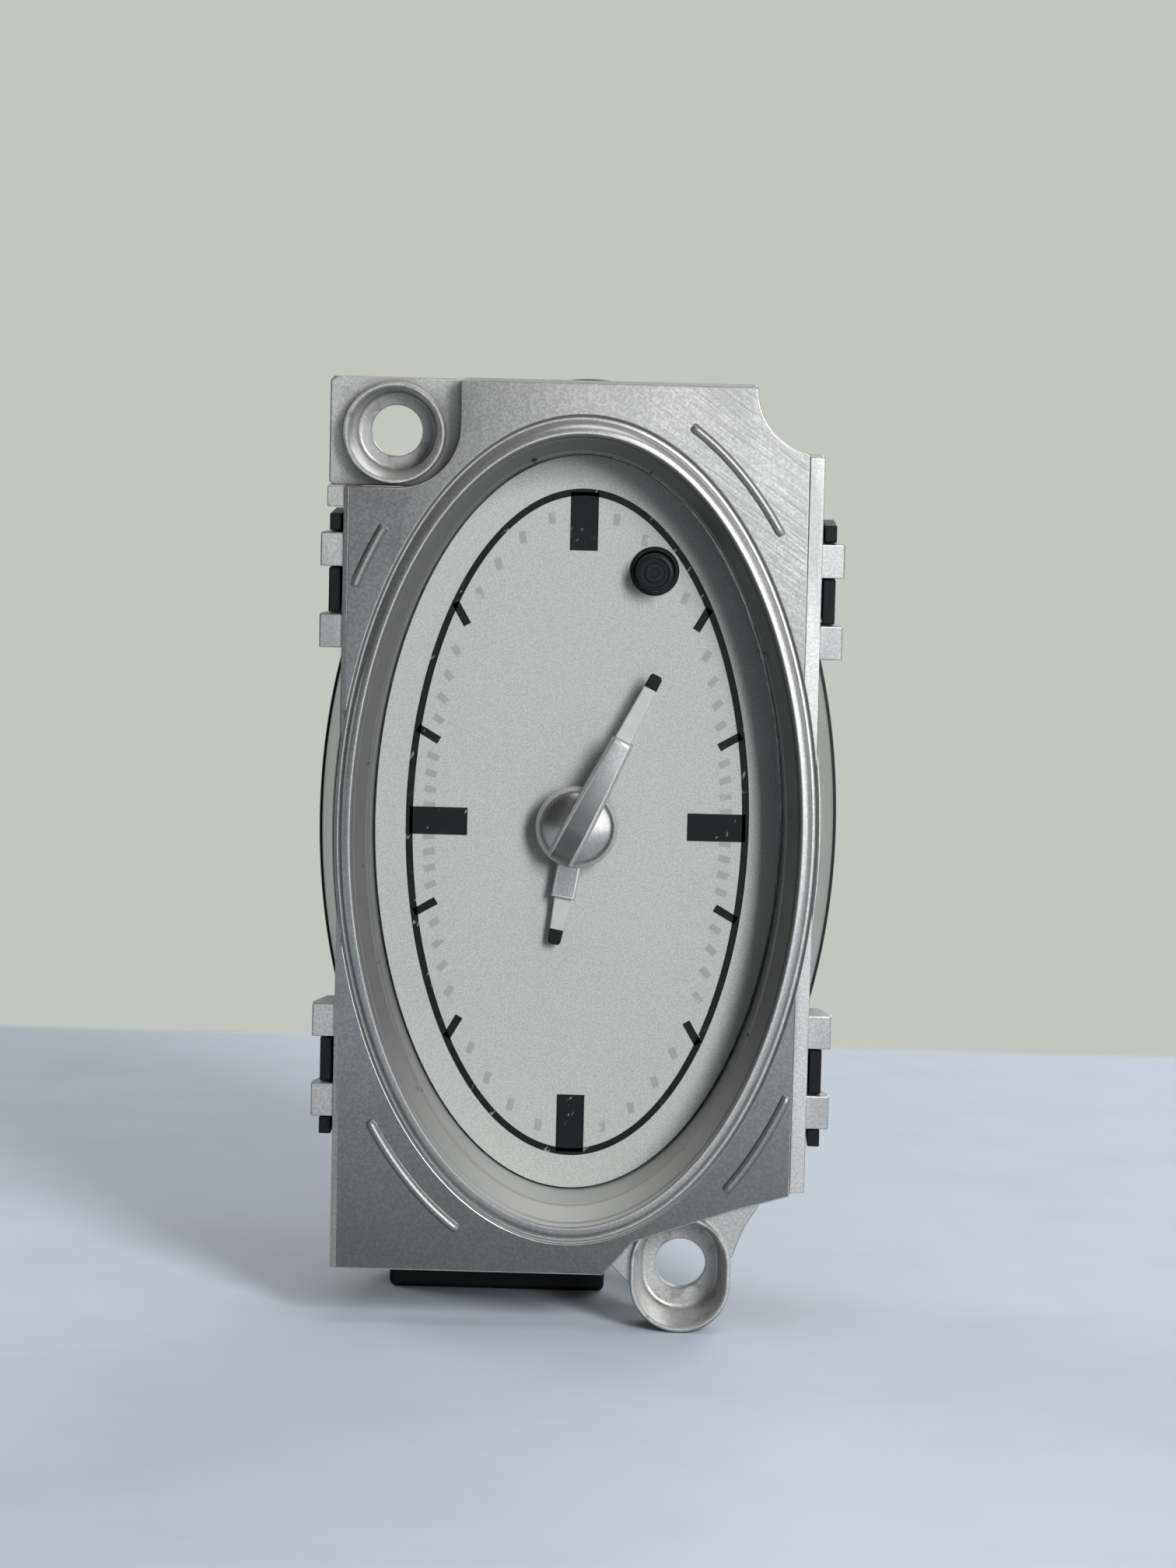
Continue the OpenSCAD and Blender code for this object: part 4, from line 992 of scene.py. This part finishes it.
def pointer(name, body, angle, reach, length, front, stands_for):
    """A pale blade with its black tip. It runs from under its cover, over a reach along the hand."""
    first, start = reach
    back = front + POINTER_T
    wide, narrow = BLADE_HALF
    join = length - TIP_L
    half = wide + (narrow - wide) * (join - start) / (length - start)
    blade = [(first, -wide), (start, -wide), (join, -half), (join, half), (start, wide), (first, wide)]
    end = [(join, -half), (length - 0.25, -narrow), (length, -narrow * 0.7)]
    end += [(x, -y) for x, y in reversed(end)]
    bm = bmesh.new()
    prism(bm, turned(blade, angle), front, back, 0.17)
    piece(name, bm, PALE, body, stands_for)
    bm = bmesh.new()
    prism(bm, turned(end, angle), front - 0.02, back, 0.17)
    piece(name + "_tip", bm, BLACK_TIP, body)


def dome_depth(distance):
    """Depth of the hub's dome at a distance from the arbor."""
    rise = HUB_SEAT - HUB_TOP
    radius = (HUB_R**2 + rise**2) / (2 * rise)
    return HUB_TOP + radius - sqrt(radius**2 - distance**2)


def bar_edges(angle):
    """The lighter material painted on a hand's sloping sides and end as a highlight, and a test for faces
    that slope to its sides and its end.
    """
    along = Vector((cos(radians(angle)), 0, sin(radians(angle))))
    across = Vector((-along.z, 0, along.x))
    return HAND_EDGE_HIGHLIGHT, lambda n: n.y < -0.2 and (abs(n.dot(across)) > 0.17 or n.dot(along) > 0.17)


def minute_hub():
    """The domed hub, with a narrow sloping rim."""
    dome = [(HUB_R - 0.5, HUB_BACK), (HUB_R - 0.04, HUB_BACK), (HUB_R, HUB_BACK - 0.06)]
    dome += [(HUB_R, HUB_BACK - 0.3), (HUB_R - 0.05, HUB_BACK - 0.42)]
    dome += [(HUB_R - 0.36, HUB_SEAT - 0.2), (HUB_R - 0.42, HUB_SEAT - 0.3)]
    for k in range(1, 19):
        distance = (HUB_R - 0.5) * (1 - k / 18)
        dome.append((max(distance, AXIS_R), dome_depth(distance)))
    bm = bmesh.new()
    lathe(bm, dome, (0, 0), 96)
    # The hub's sloping rim takes the lighter edge silver: painted highlight.
    rim = (HAND_EDGE_HIGHLIGHT, lambda n: -0.62 < n.y < -0.2)
    piece("minute_hub", bm, HAND, "minute_hand", ["minute_cover"], edges=rim)


def minute_bar():
    """The raised bar, which follows the dome down to its rim and runs out along the hand."""
    tail = HUB_R - 0.18
    level = HUB_TOP - BAR_PROUD
    end = MINUTE_COVER_L
    stations = []
    for k in range(9):
        x = -tail * cos(pi / 2 * k / 8)
        stations.append((x, dome_depth(-x) - BAR_PROUD * min(1, 0.2 + k / 5), 1.1, 0.52))
    stations += [(4.6, level, 1.0, 0.46), (end - 0.5, level, 0.78, 0.4)]
    stations += [(end - 0.14, level + 0.12, 0.77, 0.4), (end - 0.03, level + 0.4, 0.75, 0.4)]
    rings = []
    for x, top, half, slope in stations:
        foot = max(HUB_SEAT, top + 0.12)
        drop = foot - top
        edge = [(half, top), (half + 0.35 * slope, top + min(0.07, 0.12 * drop))]
        edge += [(half + 0.7 * slope, top + min(0.24, 0.4 * drop))]
        edge += [(half + slope, top + min(0.6, 0.85 * drop)), (half + slope + 0.05, foot)]
        ring = []
        for across, depth in [(-across, depth) for across, depth in reversed(edge)] + edge:
            bend = tail - sqrt(tail**2 - across**2) if x < 0 else 0
            p = turned([(x + bend * min(1, -x / tail), across)], MINUTE_ANGLE)[0]
            ring.append(row(p.x, depth, p.y))
        rings.append(ring)
    bm = bmesh.new()
    loft(bm, rings)
    piece("minute_bar", bm, HAND_BAR, "minute_hand", sharp=36, edges=bar_edges(MINUTE_ANGLE))


def hour_cover():
    """The silver bar of the hour hand, with its disc round the pipe."""
    half = HOUR_COVER_HALF
    bar = [(PIPE_OUT, -half), (HOUR_COVER_L, -half), (HOUR_COVER_L, half), (PIPE_OUT, half)]
    disc = [(PIPE_OUT, HOUR_SEAT), (PIPE_OUT, HOUR_FRONT), (DISC_R - 0.1, HOUR_FRONT)]
    disc += [(DISC_R, HOUR_FRONT + 0.1), (DISC_R, HOUR_SEAT - 0.1), (DISC_R - 0.1, HOUR_SEAT)]
    bm = bmesh.new()
    prism(bm, turned(bar, HOUR_ANGLE), HOUR_FRONT, HOUR_SEAT, 0.28, steps=4)
    lathe(bm, disc, (0, 0), 48, True)
    piece("hour_bar", bm, HAND_BAR, "hour_hand", ["hour_cover"], edges=bar_edges(HOUR_ANGLE))


minute_hub()
minute_bar()
minute_reach = (2.0, MINUTE_COVER_L)
pointer("minute_blade", "minute_hand", MINUTE_ANGLE, minute_reach, MINUTE_L, HUB_SEAT, ["minute_pointer"])
hour_cover()
hour_reach = (PIPE_OUT + 0.1, HOUR_COVER_L)
pointer("hour_blade", "hour_hand", HOUR_ANGLE, hour_reach, HOUR_L, HOUR_SEAT, ["hour_pointer"])


# Button and collar


def button():
    """The black collar on the dial and the button in it, with rings turned into its cap."""
    tube = BUTTON_R + 0.06
    collar = [(tube, COLLAR_BACK), (tube, COLLAR_FRONT + 0.15), (tube + 0.12, COLLAR_FRONT)]
    collar += [(COLLAR_R - 0.12, COLLAR_FRONT), (COLLAR_R, COLLAR_FRONT + 0.12), (COLLAR_R, DIAL)]
    collar += [(tube + 0.35, DIAL), (tube + 0.35, COLLAR_BACK)]
    bm = bmesh.new()
    lathe(bm, collar, BUTTON_XZ, 64, True)
    piece("collar_ring", bm, BLACK_BUTTON, "case", ["button_collar"])
    rings = [(AXIS_R, 0.1), (0.4, 0.1), (0.48, 0.02), (1.02, 0.02), (1.1, 0.25), (1.55, 0.25)]
    rings += [(1.62, 0), (1.86, 0), (2.0, 0.08), (BUTTON_R, 0.25)]
    cap = [(radius, BUTTON_FRONT + depth) for radius, depth in rings]
    cap += [(BUTTON_R, FLANGE_FRONT), (FLANGE_R, FLANGE_FRONT), (FLANGE_R, FLANGE_BACK)]
    cap += [(STEM_R, FLANGE_BACK), (STEM_R, STEM_BACK), (AXIS_R, STEM_BACK)]
    bm = bmesh.new()
    lathe(bm, cap, BUTTON_XZ, 64)
    piece("button_cap", bm, BLACK_BUTTON, "button", ["set_button"])


button()


# Rear housing


def case_shell():
    """The oval shell with its rounded back edge, and the foot block under it."""
    wall = CASE - CASE_WALL
    profile = [(wall, CASE_BACK - CASE_WALL), (wall, CASE_FRONT), (CASE - 0.3, CASE_FRONT)]
    profile += [(CASE - 0.08, CASE_FRONT + 0.1), (CASE, CASE_FRONT + 0.4)]
    for k in range(6):
        angle = pi / 2 * k / 5
        inward = CASE_ROUND * (1 - cos(angle))
        profile.append((CASE - inward, CASE_BACK - CASE_ROUND * (1 - sin(angle))))
    bm = bmesh.new()
    loft(bm, [ring_at(oval_arc(offset, 0, 2 * pi, 360)[:-1], depth) for offset, depth in profile])
    piece("case_shell", bm, BLACK, stands_for=["rear_housing"])
    foot = rounded(rectangle(FOOT_LEFT, FOOT_RIGHT, -ARBOR_Z, FOOT_H - ARBOR_Z), 0.9)
    bm = bmesh.new()
    prism(bm, foot, FOOT_FRONT, CASE_BACK, 0.6, steps=4)
    piece("case_foot", bm, BLACK)


def plug_header():
    """The header round the plug pins, with a rounded lip and a keying rib."""
    x, z = HEADER_XZ
    outer = rounded(rectangle_about(HEADER_XZ, HEADER_HALF), 0.8)
    inner = rounded(rectangle_about(HEADER_XZ, HEADER_BORE), 0.5)
    back = HEADER_BACK
    lip = [(outer, HEADER_FRONT), (outer, back - 0.25), (inset(outer, 0.08), back - 0.07)]
    lip += [(inset(outer, 0.25), back), (inset(inner, -0.2), back), (inset(inner, -0.05), back - 0.06)]
    lip += [(inner, back - 0.25), (inner, CASE_BACK)]
    bm = bmesh.new()
    loft(bm, [ring_at(outline, depth) for outline, depth in lip])
    piece("header_shell", bm, BLACK, stands_for=["plug_header"])
    bm = bmesh.new()
    box(bm, x - 1.2, x + 1.2, CASE_BACK, back - 0.6, z + 3.1, z + 4.2, 0.12)
    piece("header_key", bm, BLACK)


def case_clips():
    """Four clips: a shelf behind the frame with two fingers that reach forward beside its tabs."""
    x0 = HALF_W + CLIP_CLEAR
    x1 = x0 + FINGER_T
    z0 = CLIP_Z - TAB_GAP / 2 + CLIP_CLEAR
    z1 = CLIP_Z + TAB_GAP / 2 - CLIP_CLEAR
    z2 = CLIP_Z + TAB_GAP / 2 + TAB_H + CLIP_CLEAR
    z3 = z2 + FINGER_H
    blocks = [
        (CLIP_INNER, x1, CASE_FRONT, CLIP_BACK, z0, z3),
        (x0, x1, FINGER_FRONT, CASE_FRONT + 0.1, z0, z1),
        (x0, x1, FINGER_FRONT, CASE_FRONT + 0.1, z2, z3),
        (x0 - 0.9, x0 + 0.2, 3.2, 5.2, z0 + 0.7, z1 - 0.7),
    ]
    bm = bmesh.new()
    for mirror, level in QUARTERS:
        for block in blocks:
            xs = sorted(mirror * x for x in block[:2])
            zs = sorted(level * z for z in block[4:])
            box(bm, *xs, *block[2:4], *zs, 0.14)
    piece("case_clips", bm, BLACK)


def case_back_marks():
    """Low moulded details on the rear wall: a stiffening ring, cross ribs and ejector marks."""
    low, high = CASE_BACK - 0.1, CASE_BACK + 0.55
    ring = [(-3.0, low), (-3.0, high - 0.1), (-2.9, high), (-2.1, high), (-2.0, high - 0.1), (-2.0, low)]
    bm = bmesh.new()
    sweep_oval(bm, ring, 240)
    for z in (-16.0, 0.0, 16.0):
        half = (OVAL_A - 2.8) * sqrt(1 - (z / (OVAL_B - 3.3)) ** 2)
        box(bm, -half, half, CASE_BACK - 0.2, CASE_BACK + 0.5, z - 0.5, z + 0.5, 0.15)
    top = CASE_BACK + 0.18
    mark = [(1.9, low), (1.9, top - 0.08), (1.75, top), (AXIS_R, top)]
    for mirror, level in QUARTERS:
        lathe(bm, mark, (13.0 * mirror, 8.0 * level), 40)
    piece("case_back_ribs", bm, BLACK)


case_shell()
plug_header()
case_clips()
case_back_marks()


# Lamp holders


def lamp_holders(material):
    """Two twist-in lamp holders, with a finger bar across each head."""
    tube = [(HOLDER_BORE_R, HOLDER_FRONT), (HOLDER_R - 0.2, HOLDER_FRONT), (HOLDER_R, HOLDER_FRONT + 0.2)]
    head = [(HOLDER_R, CASE_BACK), (HEAD_R - 0.2, CASE_BACK), (HEAD_R, CASE_BACK + 0.15)]
    head += [(HEAD_R, HEAD_BACK - 0.4), (HEAD_R - 0.1, HEAD_BACK - 0.15), (HEAD_R - 0.4, HEAD_BACK)]
    bore = [(AXIS_R, HEAD_BACK), (AXIS_R, HOLDER_SEAT), (HOLDER_BORE_R, HOLDER_SEAT)]
    bm = bmesh.new()
    for z in (LAMP_Z, -LAMP_Z):
        lathe(bm, tube + head + bore, (0, z), 64, True)
        box(bm, -HOLDER_R, HOLDER_R, HEAD_BACK - 0.2, HEAD_BACK + 1.6, z - 0.8, z + 0.8, 0.3)
    piece("holder_heads", bm, material, stands_for=["lamp_holder_1", "lamp_holder_2"])


lamp_holders(moulded("holder_grey", (0.045, 0.046, 0.05), 0.5))


# Pieces inside the housing keep their own solids

INSIDE = {
    "light_guide": clear_plastic("clear_acrylic", (0.86, 0.92, 0.92)),
    "lamp_": clear_plastic("lamp_glass", (0.92, 0.95, 0.95), 0.02),
    "switch_plunger": black_plastic("switch_plunger", 0.4, 2800),
    "tact_switch": moulded("switch_body", (0.02, 0.02, 0.022), 0.5),
    "centre_tube": bare_metal("brass_turned", (0.62, 0.42, 0.16), 0.24, (1, 8, 1)),
    "centre_wheel": bare_metal("brass_stamped", (0.6, 0.41, 0.17), 0.3, (6, 1, 1)),
    "_plate": moulded("ivory_plastic", (0.6, 0.56, 0.46), 0.42),
    "movement_screw": bare_metal("steel_screw", (0.45, 0.46, 0.48), 0.3, (1, 6, 1)),
    "board_screw": bare_metal("steel_board_screw", (0.48, 0.49, 0.5), 0.34, (1, 6, 1)),
    "minute_arbor": bare_metal("steel_arbor", (0.5, 0.51, 0.53), 0.2, (1, 10, 1)),
    "wheel": moulded("gear_plastic", (0.62, 0.55, 0.34), 0.36),
    "rotor_pinion": moulded("rotor_plastic", (0.6, 0.53, 0.33), 0.36),
    "rotor_magnet": bare_metal("magnet", (0.1, 0.1, 0.105), 0.5),
    "stator": bare_metal("motor_iron", (0.33, 0.33, 0.34), 0.4, (8, 1, 1)),
    "coil_core": bare_metal("core_iron", (0.3, 0.3, 0.31), 0.42, (8, 1, 1)),
    "coil_bobbin": moulded("bobbin_red", (0.25, 0.025, 0.02), 0.4),
    "coil_winding": bare_metal("copper_wire", (0.5, 0.17, 0.06), 0.26, (30, 1, 1)),
    "circuit_board": circuit_green(),
    "clock_chip": moulded("chip_black", (0.015, 0.015, 0.016), 0.55),
    "quartz_crystal": bare_metal("crystal_can", (0.62, 0.62, 0.62), 0.22, (10, 1, 1)),
    "capacitor": moulded("capacitor_blue", (0.012, 0.018, 0.09), 0.3),
    "connector_pin": bare_metal("pin_gold", (0.7, 0.48, 0.15), 0.25, (1, 8, 1)),
}


def dress_inside():
    """Gives each solid that stays its material, by the words in its name."""
    for name, node in frame["nodes"].items():
        if node.hide_render:
            continue
        word = max((w for w in INSIDE if w in name), key=len)
        node.data.materials.clear()
        node.data.materials.append(INSIDE[word])


dress_inside()


# Stage, light and camera

WALL = (0.54, 0.565, 0.515)
WALL_HEADING = (0.45, 0.89, 0)
FLOOR_REACH = 4.0
FLOOR_BACK = (0.172, 0.176)
FADE_CENTRE = (-0.03, 0.06, 0)
FADE = (0.24, 0.42)


def stage():
    """A pale floor that bounces little light, with the backdrop's tone behind its back edge and far off."""
    floor = Paint("stage_floor", (0.64, 0.71, 0.8), 0.75)
    floor.mottle(floor.noise(60, 3), 0.45, 0.7, 0.25, (0.54, 0.59, 0.65))
    tree = floor.tree
    floor.tint(seen_rays(tree, "Is Diffuse Ray"), (0.24, 0.258, 0.276))
    glow = new_node(tree, "Emission", Color=(*WALL, 1))
    lit = seen_rays(tree, "Is Camera Ray", "Is Glossy Ray", "Is Transmission Ray")
    floor.link(lit, glow.inputs["Strength"])
    far = floor.times(floor.ramp(floor.distance(FADE_CENTRE), *FADE), seen_rays(tree, "Is Camera Ray"))
    share = combined(tree, "MAXIMUM", floor.ramp(floor.axis("Y"), *FLOOR_BACK), far)
    mixed(tree, share, floor.shader.outputs["BSDF"], glow.outputs["Emission"], "Material Output")
    mesh = bpy.data.meshes.new("stage_floor")
    corners = [(*corner, 0) for corner in rectangle(-FLOOR_REACH, FLOOR_REACH, -FLOOR_REACH, FLOOR_REACH)]
    mesh.from_pydata(corners, [], [(0, 1, 2, 3)])
    mesh.materials.append(floor.material)
    ground = placed("stage_floor", mesh)


def world():
    """Dim light all around, the backdrop for the camera, and the backdrop behind the clock in reflections."""
    made = bpy.data.worlds.new("studio")
    made.use_nodes = True
    tree = made.node_tree
    light = tree.nodes["Background"]
    set_inputs(light, Color=(0.95, 1.0, 0.98, 1), Strength=0.04)
    shown = new_node(tree, "Background", Color=(*WALL, 1))
    heading = new_node(tree, "TexCoord").outputs["Generated"]
    behind = ranged(tree, vectors(tree, "DOT_PRODUCT", heading, WALL_HEADING), 0.1, 1)
    mirrored = combined(tree, "MULTIPLY", behind, seen_rays(tree, "Is Glossy Ray", "Is Transmission Ray"))
    share = combined(tree, "MAXIMUM", mirrored, seen_rays(tree, "Is Camera Ray"))
    mixed(tree, share, light.outputs["Background"], shown.outputs["Background"], "World Output")
    bpy.context.scene.world = made


def softbox(name, place, aim, size, power, card=False):
    """A soft rectangular lamp. A card shows in the sheen of paint and metal alone."""
    light = bpy.data.lights.new(name, "AREA")
    light.shape = "RECTANGLE"
    light.size, light.size_y = size
    light.energy = power
    lamp = placed(name, light)
    lamp.location = place
    lamp.rotation_euler = (Vector(aim) - Vector(place)).to_track_quat("-Z", "Y").to_euler()
    lamp.visible_camera = False
    lamp.visible_diffuse = not card


def lamp_place(right, up, distance):
    """A place in front of the dial, by its angles from the dial's normal and its distance in millimetres."""
    right, up = radians(right), radians(up)
    heading = Vector((sin(right) * cos(up), -cos(right) * cos(up), sin(up)))
    return row(0, 0, 0) + heading * distance * MM


def camera():
    """Looks at the clock from slightly above and to the right, rolled a little, as the photograph does."""
    azimuth, elevation, roll = radians(0.94), radians(7.1), radians(1.4)
    distance = 550 * MM
    focal_px, image_h = 6630, 2016
    target = row(0, -BEAD_H, 0)
    aim = target + Vector((1.19, 0, 5.47)) * MM
    data = bpy.data.cameras.new("photo_camera")
    data.sensor_fit = "VERTICAL"
    data.sensor_height = 36
    data.lens = focal_px / image_h * data.sensor_height
    data.clip_start = 0.01
    eye = placed("photo_camera", data)
    back = Vector((sin(azimuth), -cos(azimuth), tan(elevation))).normalized()
    eye.location = target + back * distance
    look = (aim - eye.location).to_track_quat("-Z", "Y").to_matrix()
    eye.rotation_euler = (look @ Matrix.Rotation(roll, 3, "Z")).to_euler()
    bpy.context.scene.camera = eye


stage()
world()
centre = row(0, 0, 0)
softbox("key", lamp_place(28, 20, 900), centre, (0.2, 0.45), 7.8)
softbox("side_window", (0.26, -0.15, 0.117), centre, (0.22, 0.23), 0.36, card=True)
softbox("reflector", lamp_place(11.6, 3.2, 900), centre, (0.41, 0.31), 1.38, card=True)
softbox("overhead", (0.08, -0.12, 0.85), (0, 0, 0.05), (0.5, 0.5), 1.3)
softbox("left_fill", (-0.55, 0.35, 0.3), centre, (0.4, 0.4), 1.4)
softbox("back_fill", (0.3, 0.6, 0.4), centre, (0.5, 0.5), 2.4)
camera()
bpy.context.scene.view_settings.view_transform = "Standard"
